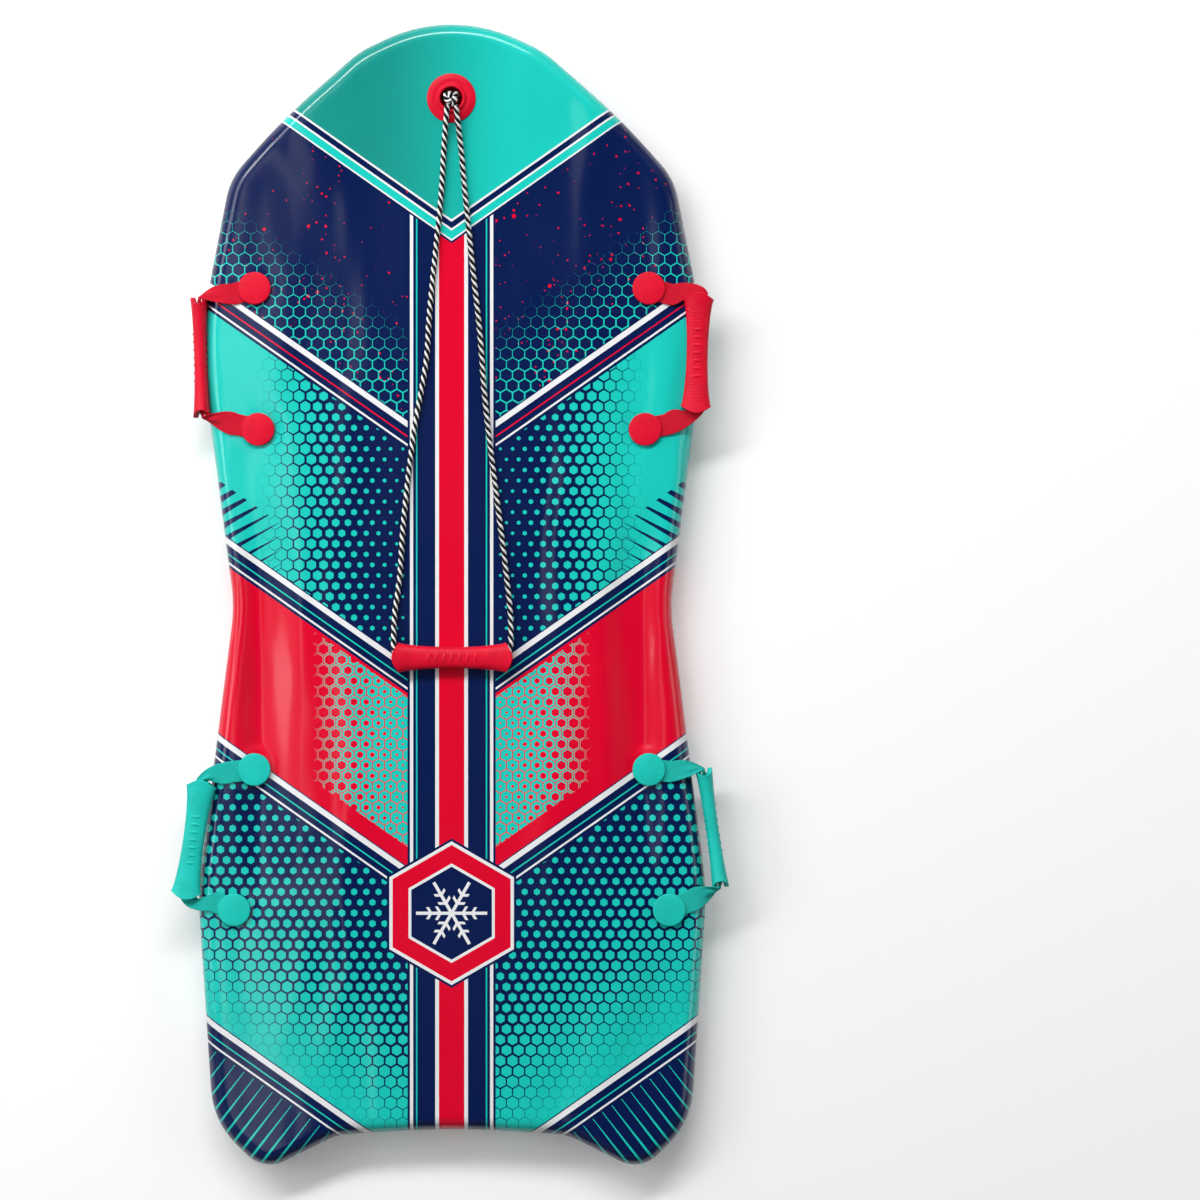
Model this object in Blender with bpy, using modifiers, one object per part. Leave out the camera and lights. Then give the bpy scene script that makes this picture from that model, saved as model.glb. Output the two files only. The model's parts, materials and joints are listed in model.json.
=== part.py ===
"""Foam slider sled with four side handles and a pull rope.

A foam core is wrapped over its rails by a printed deck skin and closed below by a slick
running sheet. Two-part buttons clamp webbing straps through the board, each pair of straps
carries a moulded grip, and a rope through the nose plug carries the pull grip.

The sled lies on its running face, deck up. The origin is underneath, in the middle of the
flat running face. +Y points at the nose, +X at the rider's right and +Z up. Sizes are metres.
"""

import math

import bmesh
import bpy
from mathutils import Matrix, Vector
from mathutils.geometry import delaunay_2d_cdt

GAP = 0.0003

# Board outline: its corner points, each rounded by its own radius
LENGTH = 1.220
HALF_WIDTH = 0.272
NOSE_Y = LENGTH / 2
TAIL_Y = -LENGTH / 2
CHORD_ERROR = 0.0006
NOSE_APEX = 0.025
# Inset from the widest line, distance from the nose tip, radius
FRONT_CORNERS = (
    (0.172, 0.028, 0.080),
    (0.094, 0.099, 0.400),
    (0.031, 0.174, 0.100),
    (0.005, 0.348, 0.600),
)
# Inset from the widest line, place along the board, radius
WAIST_CORNER = (0.0405, -0.004, 0.250)
# Inset from the widest line, distance from the tail tips, radius
REAR_CORNERS = (
    (0.000, 0.265, 0.300),
    (0.0187, 0.0457, 0.055),
    (0.0765, -0.0045, 0.026),
    (0.154, 0.0345, 0.060),
)
NOTCH_DEPTH = 0.041
NOTCH_RADIUS = 0.800

# Board section
DECK_HEIGHT = 0.050
CROWN_FALL = 0.007
FLAT_HALF = 0.120
NOSE_RISE = 0.020
ROCKER_LENGTH = 0.250
ROCKER_START = NOSE_Y - ROCKER_LENGTH
RAIL_RADIUS = 0.016
RAIL_ARC_STEPS = 3
RAIL_FOOT = 0.010
LIP_INSET = 0.0022
SKIN = 0.003
SLICK = 0.0015
SLICK_INSET = 0.0026
FLOOR_RING = 0.008
FILL_ROW_STEP = 0.085
ROCKER_ROW_STEP = 0.034
FILL_MARGIN = 0.014
FILL_SPACING = 0.010

# Side buttons and the holes they pass through
BUTTON_RADIUS = 0.0165
BUTTON_RIM = 0.0022
BUTTON_DOME = 0.0014
BACKING_RADIUS = 0.0168
BACKING_THICK = 0.0034
SOCKET_DEPTH = 0.0020
POST_RADIUS = 0.0056
POST_CLEARANCE = 0.0006
SEAT_RADIUS = 0.018
SEAT_SINK = 0.0006
SEAT_BLEND = 0.012
RECESS_RADIUS = 0.0188
RECESS_WALL = 0.0045
RECESS_DEPTH = 0.0042

# Webbing straps
WEB_WIDTH = 0.023
WEB_THICK = 0.0018
WEB_TURN_WIDTH = 0.010
WEB_TURN_HAND = 0.014
STRAP_STRAIGHT = 0.0015
WEB_BORE_WIDTH = 0.016
HINGE_REACH = 0.0245
TAB_BACK = 0.010
STRAP_RUN = 0.016
# Shares of the strap's way to its grip where it starts to rise, starts to twist, and is narrow
STRAP_RISE_FROM = 0.10
STRAP_TWIST_FROM = 0.25
STRAP_NARROW_BY = 0.70
STRAP_STEPS = 12

# Moulded grips
GRIP_LENGTH = 0.129
GRIP_HALF_WIDTH = (0.0113, 0.0165)
GRIP_HALF_THICK = (0.0068, 0.0093)
GRIP_RIM_CUT = 0.0075
GRIP_RIM_SHARPNESS = 1.4
GRIP_RIM_DEPTH = 8
GRIP_FLARE = 2.2
GRIP_SQUARENESS = 2.5
BORE_HALF = (0.0090, 0.00375)
GRIP_SIDES = 16
GRIP_STATIONS = (-1.0, -0.82, -0.42, 0.0, 0.42, 0.82, 1.0)
GRIP_CLEARANCE = 0.0006
GRIP_PROBE_STEP = 0.008

# Side handles: places along the board, how far each button is past the end of the grip, and
# the insets of the fore and aft buttons from the edge
FRONT_PLACE = 0.2538
REAR_PLACE = -0.25965
FRONT_PAST = 0.0108
REAR_PAST = 0.01045
FRONT_INSETS = (0.0459, 0.0493)
REAR_INSETS = (0.0423, 0.0374)
# Side, place, button past grip, insets, how the grip lies, and how far it has slid forward
HANDLES = {
    "front_left": (-1, FRONT_PLACE, FRONT_PAST, FRONT_INSETS, "edge", 0.0034),
    "front_right": (1, FRONT_PLACE, FRONT_PAST, FRONT_INSETS, "flat", 0.0074),
    "rear_left": (-1, REAR_PLACE, REAR_PAST, REAR_INSETS, "flat", -0.0078),
    "rear_right": (1, REAR_PLACE, REAR_PAST, REAR_INSETS, "edge", 0.0037),
}
FLAT_REACH = 0.0535
EDGE_REACH = 0.0580
EDGE_DROP = 0.0080

# Running channels under the board: side place, half width, rear end, front end
CHANNELS = (
    (0.047, 0.0165, -0.281, 0.135),
    (0.128, 0.0250, -0.271, 0.345),
)
CHANNEL_DEPTH = 0.004
CHANNEL_STEPS = 8

# Rope plug in the nose
PLUG_FROM_NOSE = 0.079
PLUG_SEAT_RADIUS = 0.028
PLUG_BLEND = 0.014
FLANGE_RADIUS = 0.026
FLANGE_THICK = 0.003
BEAD_RADIUS = 0.0149
BEAD_TOP = 0.0052
BEAD_SLOPE = 0.0012
FLANGE_EDGE = 0.0028
BARREL_RADIUS = 0.0132
BARREL_BORE = 0.0115
BARREL_LENGTH = 0.036
BARREL_CLEARANCE = 0.0011
SLEEVE_RADIUS = 0.0111
SLEEVE_BORE = 0.0085
SLEEVE_LENGTH = 0.024
NECK_BORE = 0.0068
NECK_LENGTH = 0.006

# Pull rope: its route is given by side place and distance back from the plug
ROPE_RADIUS = 0.003
ROPE_LIFT = 0.0003
ROPE_STEP = 0.018
ROPE_BEND = 0.012
ROPE_SPREAD = 0.055
ROPE_CLIMB = 0.045
ROPE_LEAD = 0.004
ROPE_MIDDLE = (-0.035, -0.0175, 0, 0.0175, 0.035)
KNOT_RADIUS = 0.0095
KNOT_HALF_HEIGHT = 0.0068
KNOT_LIFT = 0.002
KNOT_AXIS_LIFT = 0.002
TAIL_KNOT_RADIUS = 0.0079
TAIL_KNOT_HALF_HEIGHT = 0.0055
ROPE_OVER_PLUG = (
    (0.0084, 0.0094),
    (0.0200, 0.0094),
    (0.0300, 0.0066),
)
ROPE_START_SIDE = (-0.0034, 0.0042)
ROPE_LEFT = (
    (-0.0080, 0.0550),
    (-0.0106, 0.0992),
    (-0.0161, 0.1547),
    (-0.0234, 0.2284),
    (-0.0273, 0.2828),
    (-0.0401, 0.3565),
    (-0.0508, 0.4483),
    (-0.0551, 0.5102),
    (-0.0620, 0.5500),
)
ROPE_RIGHT = (
    (0.0105, 0.0550),
    (0.0143, 0.0992),
    (0.0218, 0.1729),
    (0.0299, 0.2465),
    (0.0357, 0.3202),
    (0.0442, 0.3938),
    (0.0538, 0.4686),
    (0.0627, 0.5310),
    (0.0660, 0.5580),
)
PULL_GRIP_SIDE = 0.0009
PULL_GRIP_BACK = 0.5961
PULL_BEND_SIDE = GRIP_LENGTH / 2 + 0.0005

FOAM_WHITE = (0.86, 0.87, 0.88)
DECK_NAVY = (0.010, 0.020, 0.115)
SLICK_BLUE = (0.020, 0.050, 0.240)
TEAL = (0.020, 0.620, 0.480)
RED = (0.800, 0.005, 0.022)
ROPE_GREY = (0.120, 0.120, 0.125)


def material(name, color, roughness):
    """Make one plastic or textile material."""
    made = bpy.data.materials.new(name)
    made.use_nodes = True
    shader = made.node_tree.nodes["Principled BSDF"]
    shader.inputs["Base Color"].default_value = (*color, 1.0)
    shader.inputs["Roughness"].default_value = roughness
    shader.inputs["Metallic"].default_value = 0.0
    return made


def collection(name):
    """Make a collection in the scene."""
    made = bpy.data.collections.new(name)
    bpy.context.scene.collection.children.link(made)
    return made


def place(name, data, finish, parent=None, location=(0, 0, 0), rotation=(0, 0, 0)):
    """Put mesh or curve data into the sled's collection as a named piece."""
    data.materials.append(finish)
    piece = bpy.data.objects.new(name, data)
    SLED.objects.link(piece)
    piece.location = location
    piece.rotation_euler = rotation
    if parent is not None:
        piece.parent = parent
    return piece


def pivot(name, location, parent=None):
    """Put an empty on a joint's axis."""
    empty = bpy.data.objects.new(name, None)
    empty.empty_display_size = 0.02
    SLED.objects.link(empty)
    empty.location = location
    if parent is not None:
        empty.parent = parent
    return empty


def smooth(value):
    """Ease from 0 to 1."""
    value = min(max(value, 0.0), 1.0)
    return value * value * (3 - 2 * value)


def rounded(corners):
    """Round each corner of a closed polygon by its own radius."""
    points, arms, turns, reaches = [], [], [], []
    for index, (x, y, radius) in enumerate(corners):
        corner = Vector((x, y))
        before = Vector(corners[index - 1][:2]) - corner
        after = Vector(corners[(index + 1) % len(corners)][:2]) - corner
        arms.append((before, after))
        turns.append(math.pi - before.angle(after))
        reaches.append(radius * math.tan(turns[-1] / 2))
    for index, (x, y, radius) in enumerate(corners):
        corner, turn = Vector((x, y)), turns[index]
        before, after = arms[index]
        following = (index + 1) % len(corners)
        fit_before = 0.98 * before.length / (reaches[index] + reaches[index - 1])
        fit_after = 0.98 * after.length / (reaches[index] + reaches[following])
        tangent = reaches[index] * min(1, fit_before, fit_after)
        radius = tangent / math.tan(turn / 2)
        middle = (before.normalized() + after.normalized()).normalized()
        centre = corner + middle * (radius / math.cos(turn / 2))
        arm = corner + before.normalized() * tangent - centre
        sweep = math.copysign(turn, before.cross(after) * -1)
        steps = max(1, math.ceil(turn / (2 * math.acos(1 - CHORD_ERROR / radius))))
        for step in range(steps + 1):
            points.append(centre + Matrix.Rotation(sweep * step / steps, 2) @ arm)
    return points


def board_outline():
    """The board's edge seen from above, counter-clockwise from the nose."""
    nose_x = HALF_WIDTH - FRONT_CORNERS[0][0]
    nose_fall = math.atan2(NOSE_APEX + FRONT_CORNERS[0][1], nose_x)
    nose_radius = NOSE_APEX / (1 / math.cos(nose_fall) - 1)
    side = [(HALF_WIDTH - inset, NOSE_Y - back, radius) for inset, back, radius in FRONT_CORNERS]
    side.append((HALF_WIDTH - WAIST_CORNER[0], WAIST_CORNER[1], WAIST_CORNER[2]))
    side += [(HALF_WIDTH - inset, TAIL_Y + ahead, radius) for inset, ahead, radius in REAR_CORNERS]
    apex = [(0.0, NOSE_Y + NOSE_APEX, nose_radius)]
    notch = [(0.0, TAIL_Y + NOTCH_DEPTH, NOTCH_RADIUS)]
    left = [(-x, y, radius) for x, y, radius in side]
    return rounded(apex + left + notch + side[::-1])


def inset(ring, distance):
    """Move a counter-clockwise outline inwards, each point along its mitre."""
    moved = []
    for index, point in enumerate(ring):
        arriving = (point - ring[index - 1]).normalized()
        leaving = (ring[(index + 1) % len(ring)] - point).normalized()
        inward = Vector((-arriving.y - leaving.y, arriving.x + leaving.x)).normalized()
        moved.append(point + inward * (distance / inward.dot(Vector((-arriving.y, arriving.x)))))
    return moved


def contains(ring, point):
    """Whether a point lies inside a closed outline."""
    inside = False
    for index, b in enumerate(ring):
        a = ring[index - 1]
        if (a.y > point.y) != (b.y > point.y):
            if point.x < a.x + (point.y - a.y) / (b.y - a.y) * (b.x - a.x):
                inside = not inside
    return inside


def edge_x(y):
    """Half width of the board at a place along it."""
    crossings = []
    for index, b in enumerate(OUTLINE):
        a = OUTLINE[index - 1]
        if (a.y > y) != (b.y > y):
            crossings.append(abs(a.x + (y - a.y) / (b.y - a.y) * (b.x - a.x)))
    return max(crossings)


def edge_distance(point):
    """Distance from a point to the nearest edge of the board, negative outside it."""
    nearest = math.inf
    for index, b in enumerate(OUTLINE):
        a = OUTLINE[index - 1]
        along = min(max((point - a).dot(b - a) / (b - a).length_squared, 0), 1)
        nearest = min(nearest, (point - a - (b - a) * along).length)
    return nearest if contains(OUTLINE, point) else -nearest


def rocker(y):
    """How far the nose lifts the board off the ground."""
    return NOSE_RISE * max((y - ROCKER_START) / ROCKER_LENGTH, 0) ** 2


def rocker_slope(y):
    """Slope of the nose lift."""
    return 2 * NOSE_RISE * max((y - ROCKER_START) / ROCKER_LENGTH, 0) / ROCKER_LENGTH


def crowned(x, y):
    """Deck height before the seats are pressed into it."""
    beyond = max(abs(x) - FLAT_HALF, 0) / (HALF_WIDTH - FLAT_HALF)
    return DECK_HEIGHT + rocker(y) - CROWN_FALL * beyond**2


def deck_z(x, y):
    """Height of the deck skin, with a flat seat under each button and the rope plug."""
    height = crowned(x, y)
    for button in BUTTONS.values():
        reach = (Vector((x, y)) - button).length
        pressed = 1 - smooth((reach - SEAT_RADIUS) / SEAT_BLEND)
        height += (crowned(*button) - SEAT_SINK - height) * pressed
    reach = (Vector((x, y)) - PLUG).length
    pressed = 1 - smooth((reach - PLUG_SEAT_RADIUS) / PLUG_BLEND)
    tangent = crowned(*PLUG) + PLUG_SLOPE * (y - PLUG.y)
    return height + (tangent - height) * pressed


def channel_share(x, y):
    """Depth of the running channels as a share of the full depth."""
    share = 0.0
    for side, half, rear, front in CHANNELS:
        along = (y - rear) / (front - rear)
        if 0 < along < 1:
            swell = math.sin(math.pi * along) ** 0.6
            share = max(share, (1 - abs(abs(x) - side) / (half * swell)) * swell)
    return share


def floor_z(x, y):
    """Height of the running face, with its channels, button recesses and plug seat."""
    for button in BUTTONS.values():
        reach = (Vector((x, y)) - button).length
        if reach < RECESS_RADIUS + RECESS_WALL / 2:
            return rocker(button.y) + RECESS_DEPTH
    reach = (Vector((x, y)) - PLUG_BELOW).length
    pressed = 1 - smooth((reach - PLUG_SEAT_RADIUS) / PLUG_BLEND)
    tangent = rocker(PLUG_BELOW.y) + PLUG_SLOPE * (y - PLUG_BELOW.y)
    open_floor = rocker(y) + CHANNEL_DEPTH * channel_share(x, y)
    return open_floor + (tangent - open_floor) * pressed


def circle(centre, radius, steps):
    """Points round a circle, counter-clockwise."""
    turns = [2 * math.pi * step / steps for step in range(steps)]
    return [centre + radius * Vector((math.cos(turn), math.sin(turn))) for turn in turns]


def channel_lines():
    """Edges and keels of the running channels, as closed loops and open lines."""
    loops, keels = [], []
    for side, half, rear, front in CHANNELS:
        for hand in (-1, 1):
            keel, right, left = [], [], []
            for step in range(1, CHANNEL_STEPS):
                along = step / CHANNEL_STEPS
                y = rear + (front - rear) * along
                spread = half * math.sin(math.pi * along) ** 0.6
                keel.append(Vector((hand * side, y)))
                right.append(Vector((hand * side + spread, y)))
                left.append(Vector((hand * side - spread, y)))
            tips = Vector((hand * side, rear)), Vector((hand * side, front))
            loops.append([tips[0], *right, tips[1], *left[::-1]])
            keels.append(keel)
    return loops, keels


class Plan:
    """A flat triangulation of the board, shared by every face that follows it."""

    def __init__(self, boundary, holes, loops=(), lines=(), columns=(), rows=(), keep_off=0.026):
        self.inputs, self.edges = [], []
        rings = [self.add(boundary, True)]
        rings += [self.add(hole, True) for hole in holes]
        for loop in loops:
            self.add(loop, True)
        for line in lines:
            self.add(line, False)
        margin = inset(boundary, FILL_MARGIN)
        centres = [sum(hole, Vector((0, 0))) / len(hole) for hole in holes]
        for x in columns:
            for y in rows:
                point = Vector((x, y))
                clear = all((point - centre).length > keep_off for centre in centres)
                clear = clear and all((point - other).length > FILL_SPACING for other in self.inputs)
                if clear and contains(margin, point):
                    self.inputs.append(point)
        flat, _, faces, origins, _, _ = delaunay_2d_cdt(self.inputs, self.edges, [], 1, 1e-7)
        self.points = [Vector(point) for point in flat]
        where = {source: index for index, group in enumerate(origins) for source in group}
        self.boundary, *self.holes = [[where[index] for index in ring] for ring in rings]
        reaches = [(hole[0] - centre).length for hole, centre in zip(holes, centres)]
        self.faces = []
        for face in faces:
            middle = sum((self.points[index] for index in face), Vector((0, 0))) / 3
            if all((middle - c).length > reach for c, reach in zip(centres, reaches)):
                self.faces.append(face)

    def add(self, points, closed):
        """Add a chain of fixed edges and return its points' places in the list."""
        first = len(self.inputs)
        places = list(range(first, first + len(points)))
        self.inputs += points
        self.edges += list(zip(places, places[1:]))
        if closed:
            self.edges.append((places[-1], first))
        return places


class Shell:
    """A closed mesh made of sheets over a plan and bands between rings."""

    def __init__(self):
        self.bm = bmesh.new()

    def sheet(self, plan, height):
        """Lay a plan at a height and return its boundary and its holes' rings."""
        verts = [self.bm.verts.new((p.x, p.y, height(p.x, p.y))) for p in plan.points]
        for face in plan.faces:
            self.bm.faces.new([verts[index] for index in face])
        rings = [plan.boundary, *plan.holes]
        return [[verts[index] for index in ring] for ring in rings]

    def ring(self, points):
        """Add a ring of vertices."""
        return [self.bm.verts.new(point) for point in points]

    def band(self, first, second):
        """Join two rings of equal count by triangles that all lean one way."""
        for index, a in enumerate(first):
            b, c, d = first[index - 1], second[index - 1], second[index]
            self.bm.faces.new((a, b, d))
            self.bm.faces.new((b, c, d))

    def bands(self, rings):
        """Join each ring to the next."""
        for first, second in zip(rings, rings[1:]):
            self.band(first, second)

    def mesh(self, name, origin=Vector()):
        """Finish as mesh data whose origin is at the given place."""
        bmesh.ops.recalc_face_normals(self.bm, faces=self.bm.faces)
        bmesh.ops.translate(self.bm, verts=self.bm.verts, vec=-origin)
        made = bpy.data.meshes.new(name)
        self.bm.to_mesh(made)
        self.bm.free()
        made.shade_smooth()
        made.set_sharp_from_angle(angle=math.radians(35))
        return made


def rail_rings(shell, offset, foot):
    """Rings down the rail of a layer that lies this far inside the deck skin."""
    rings = []
    pressed = [deck_z(p.x, p.y) - crowned(p.x, p.y) for p in inset(OUTLINE, RAIL_RADIUS)]
    for step in range(1, RAIL_ARC_STEPS + 1):
        lean = math.pi / 2 * step / RAIL_ARC_STEPS
        into = RAIL_RADIUS - (RAIL_RADIUS - offset) * math.sin(lean)
        drop = RAIL_RADIUS - (RAIL_RADIUS - offset) * math.cos(lean)
        flat = zip(inset(OUTLINE, into), pressed)
        rings.append(shell.ring([(p.x, p.y, crowned(p.x, p.y) + sunk - drop) for p, sunk in flat]))
    for into, height in ((offset, RAIL_FOOT + 0.2 * offset), (foot, SLICK + GAP)):
        flat = inset(OUTLINE, into)
        rings.append(shell.ring([(p.x, p.y, rocker(p.y) + height) for p in flat]))
    return rings


def foam_core():
    """The foam blank inside the skins."""
    shell = Shell()
    hidden = SKIN + GAP
    top, *mouths = shell.sheet(TOP_PLAN, lambda x, y: deck_z(x, y) - hidden)
    base, *vents = shell.sheet(FLOOR_PLAN, lambda x, y: floor_z(x, y) + SLICK + GAP)
    shell.bands([top, *rail_rings(shell, hidden, LIP_INSET + SKIN + GAP), base])
    for mouth, vent in zip(mouths, vents):
        shell.band(mouth, vent)
    place("foam_core", shell.mesh("foam_core"), FOAM)


def deck_skin():
    """The printed skin over the deck and round the rails."""
    shell = Shell()
    outer, *outer_holes = shell.sheet(TOP_PLAN, deck_z)
    inner, *inner_holes = shell.sheet(TOP_PLAN, lambda x, y: deck_z(x, y) - SKIN)
    outside = rail_rings(shell, 0.0, LIP_INSET)
    inside = rail_rings(shell, SKIN, LIP_INSET + SKIN)
    shell.bands([outer, *outside, *inside[::-1], inner])
    for above, below in zip(outer_holes, inner_holes):
        shell.band(above, below)
    place("deck_skin", shell.mesh("deck_skin"), DECK)


def slick_base():
    """The running sheet, which carries the rims of the channels and recesses."""
    shell = Shell()
    upper, *upper_holes = shell.sheet(FLOOR_PLAN, lambda x, y: floor_z(x, y) + SLICK)
    lower, *lower_holes = shell.sheet(FLOOR_PLAN, floor_z)
    rim = inset(OUTLINE, SLICK_INSET)
    top_rim = shell.ring([(p.x, p.y, rocker(p.y) + SLICK) for p in rim])
    low_rim = shell.ring([(p.x, p.y, rocker(p.y)) for p in rim])
    shell.bands([upper, top_rim, low_rim, lower])
    for above, below in zip(upper_holes, lower_holes):
        shell.band(above, below)
    place("slick_base", shell.mesh("slick_base"), SLICK_FINISH)


def turned(name, profile, steps, finish, location, tilt=0.0, closed=False):
    """Turn a profile of radius and height pairs about the piece's own Z axis."""
    mesh = bpy.data.meshes.new(name)
    edges = [(index, index + 1) for index in range(len(profile) - 1)]
    if closed:
        edges.append((len(profile) - 1, 0))
    mesh.from_pydata([(radius, 0, height) for radius, height in profile], edges, [])
    piece = place(name, mesh, finish, location=location, rotation=(tilt, 0, 0))
    screw = piece.modifiers.new("turn", "SCREW")
    screw.steps = steps
    screw.render_steps = steps
    screw.use_merge_vertices = True
    screw.merge_threshold = 0.00001
    return piece


def side_button(name, button, finish):
    """A domed button whose post runs down through strap and board into its backing."""
    seat = deck_z(*button)
    under = GAP + WEB_THICK + GAP
    backing_top = rocker(button.y) + RECESS_DEPTH - GAP
    post_foot = backing_top - SOCKET_DEPTH + GAP - seat
    turned(
        f"{name}_button",
        [
            (0.0, under + BUTTON_RIM + BUTTON_DOME),
            (BUTTON_RADIUS * 0.72, under + BUTTON_RIM + BUTTON_DOME * 0.55),
            (BUTTON_RADIUS, under + BUTTON_RIM),
            (BUTTON_RADIUS, under),
            (POST_RADIUS, under),
            (POST_RADIUS, post_foot),
            (0.0, post_foot),
        ],
        16,
        finish,
        (*button, seat),
    )
    socket = POST_RADIUS + GAP
    turned(
        f"{name}_backing",
        [
            (0.0, backing_top - SOCKET_DEPTH),
            (socket, backing_top - SOCKET_DEPTH),
            (socket, backing_top),
            (BACKING_RADIUS, backing_top),
            (BACKING_RADIUS, backing_top - BACKING_THICK * 0.75),
            (BACKING_RADIUS * 0.93, backing_top - BACKING_THICK),
            (0.0, backing_top - BACKING_THICK),
        ],
        16,
        finish,
        (*button, 0.0),
    )


def flat_plate(name, loops, thickness, finish, location, turn):
    """A flat piece filled between outlines, lying on its own XY plane."""
    curve = bpy.data.curves.new(name, "CURVE")
    curve.dimensions = "2D"
    curve.fill_mode = "BOTH"
    curve.extrude = thickness / 2
    for loop in loops:
        spline = curve.splines.new("POLY")
        spline.points.add(len(loop) - 1)
        for point, (x, y) in zip(spline.points, loop):
            point.co = (x, y, 0, 1)
        spline.use_cyclic_u = True
    return place(name, curve, finish, location=location, rotation=(0, 0, turn))


def strap_tab(name, button, outward, finish):
    """The strap's punched end, clamped under its button, up to the fold line."""
    half = WEB_WIDTH / 2
    rounding = [math.pi / 2 + math.pi * step / 6 for step in range(7)]
    centre = half - TAB_BACK
    end = [(centre + half * math.cos(turn), half * math.sin(turn)) for turn in rounding]
    reach = HINGE_REACH - GAP / 2
    outline = [(reach, half), *end, (reach, -half)]
    hole = circle(Vector((0, 0)), POST_RADIUS + POST_CLEARANCE, 12)
    middle = deck_z(*button) + GAP + WEB_THICK / 2
    flat_plate(
        f"{name}_tab",
        [outline, hole],
        WEB_THICK,
        finish,
        (*button, middle),
        math.atan2(outward.y, outward.x),
    )


class HandleFrame:
    """Where one side handle lies: along its buttons, outwards, and up."""

    def __init__(self, name):
        self.side, *_, self.lie, self.slide = HANDLES[name]
        self.buttons = [BUTTONS[f"{name}_{end}"] for end in ("fore", "aft")]
        fore, aft = [Vector((*button, deck_z(*button))) for button in self.buttons]
        self.along = (fore - aft).normalized()
        flat = Vector((self.along.y, -self.along.x, 0)).normalized()
        self.outward = flat * self.side
        self.up = Vector((0, 0, 1))
        self.middle = (fore + aft) / 2
        self.half_pitch = (fore - aft).length / 2
        self.hinge = self.point(0, HINGE_REACH, GAP + WEB_THICK)
        if self.lie == "flat":
            self.reach, self.height = FLAT_REACH, self.flat_height()
        else:
            self.reach, self.height = self.edge_reach(), -EDGE_DROP

    def point(self, along, out, up):
        """A place given along the buttons, outwards and up from the seats."""
        return self.middle + self.along * along + self.outward * out + self.up * up

    def flat_height(self):
        """Height at which a grip lying on its broad face clears the rail."""
        height = 0.0
        for station in self.probes():
            broad, thin = grip_size(station)
            for step in range(9):
                across, over = oval(broad, thin, math.pi / 2 * step / 8)
                spot = self.point(station * GRIP_LENGTH / 2 + self.slide, FLAT_REACH - across, 0)
                needed = rail_z(spot.x, spot.y) - self.middle.z + over
                height = max(height, needed + GRIP_CLEARANCE)
        return height

    def probes(self):
        """Shares of the grip's half length at which it is tried against the rail."""
        steps = math.ceil(GRIP_LENGTH / GRIP_PROBE_STEP)
        return [2 * step / steps - 1 for step in range(steps + 1)]

    def edge_reach(self):
        """Distance out at which a grip standing on edge clears the rail."""
        reach = EDGE_REACH
        for station in self.probes():
            spot = self.point(station * GRIP_LENGTH / 2 + self.slide, 0, 0)
            room = edge_distance(spot.xy + self.outward.xy * EDGE_REACH)
            needed = EDGE_REACH + room + grip_size(station)[1] + GRIP_CLEARANCE
            reach = max(reach, needed)
        return reach

    def grip_axes(self):
        """Centre, axis, broad direction and thin direction of the grip."""
        centre = self.point(self.slide, self.reach, self.height)
        if self.lie == "flat":
            return centre, self.along, self.outward, self.up
        return centre, self.along, self.up, self.outward


def rail_z(x, y):
    """Height of the outer skin over deck and rail, down to the rail's middle outside it."""
    into = min(max(edge_distance(Vector((x, y))), 0), RAIL_RADIUS)
    fall = RAIL_RADIUS - math.sqrt(RAIL_RADIUS**2 - (RAIL_RADIUS - into) ** 2)
    return deck_z(x, y) - fall


def grip_size(station):
    """Half width and half thickness of a grip at a share of its half length."""
    flare = abs(station) ** GRIP_FLARE
    broad = GRIP_HALF_WIDTH[0] + (GRIP_HALF_WIDTH[1] - GRIP_HALF_WIDTH[0]) * flare
    thin = GRIP_HALF_THICK[0] + (GRIP_HALF_THICK[1] - GRIP_HALF_THICK[0]) * flare
    return broad, thin


def oval(half_broad, half_thin, lean):
    """A point of a squarish oval."""
    power = 2 / GRIP_SQUARENESS
    broad = math.copysign(abs(math.cos(lean)) ** power, math.cos(lean))
    thin = math.copysign(abs(math.sin(lean)) ** power, math.sin(lean))
    return half_broad * broad, half_thin * thin


def moulded_grip(name, axes, finish, parent, origin):
    """A waisted oval sleeve whose rims are cut back at its narrow sides."""
    centre, axis, broad_way, thin_way = axes
    leans = [2 * math.pi * step / GRIP_SIDES for step in range(GRIP_SIDES)]
    shell = Shell()

    def ring(station, half_broad, half_thin):
        points = []
        for lean in leans:
            broad, thin = oval(half_broad, half_thin, lean)
            cut = GRIP_RIM_CUT * abs(math.cos(lean)) ** GRIP_RIM_SHARPNESS
            cut *= abs(station) ** GRIP_RIM_DEPTH
            along = station * GRIP_LENGTH / 2 - math.copysign(cut, station)
            points.append(centre + axis * along + broad_way * broad + thin_way * thin)
        return shell.ring(points)

    outside = [ring(station, *grip_size(station)) for station in GRIP_STATIONS]
    inside = [ring(station, *BORE_HALF) for station in (1.0, -1.0)]
    shell.bands([*outside, *inside, outside[0]])
    place(name, shell.mesh(name, origin), finish, parent)


def webbing(name, stations, finish, parent, origin):
    """A strip of webbing through stations of centre, width direction and width."""
    mesh = bpy.data.meshes.new(name)
    points = []
    for centre, sideways, width in stations:
        points += [centre - origin - sideways * width / 2, centre - origin + sideways * width / 2]
    faces = [(i, i + 1, i + 3, i + 2) for i in range(0, len(points) - 2, 2)]
    mesh.from_pydata(points, [], faces)
    piece = place(name, mesh, finish, parent)
    thicken = piece.modifiers.new("thickness", "SOLIDIFY")
    thicken.thickness = WEB_THICK
    thicken.offset = 0
    thicken.use_even_offset = False
    return piece


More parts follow.
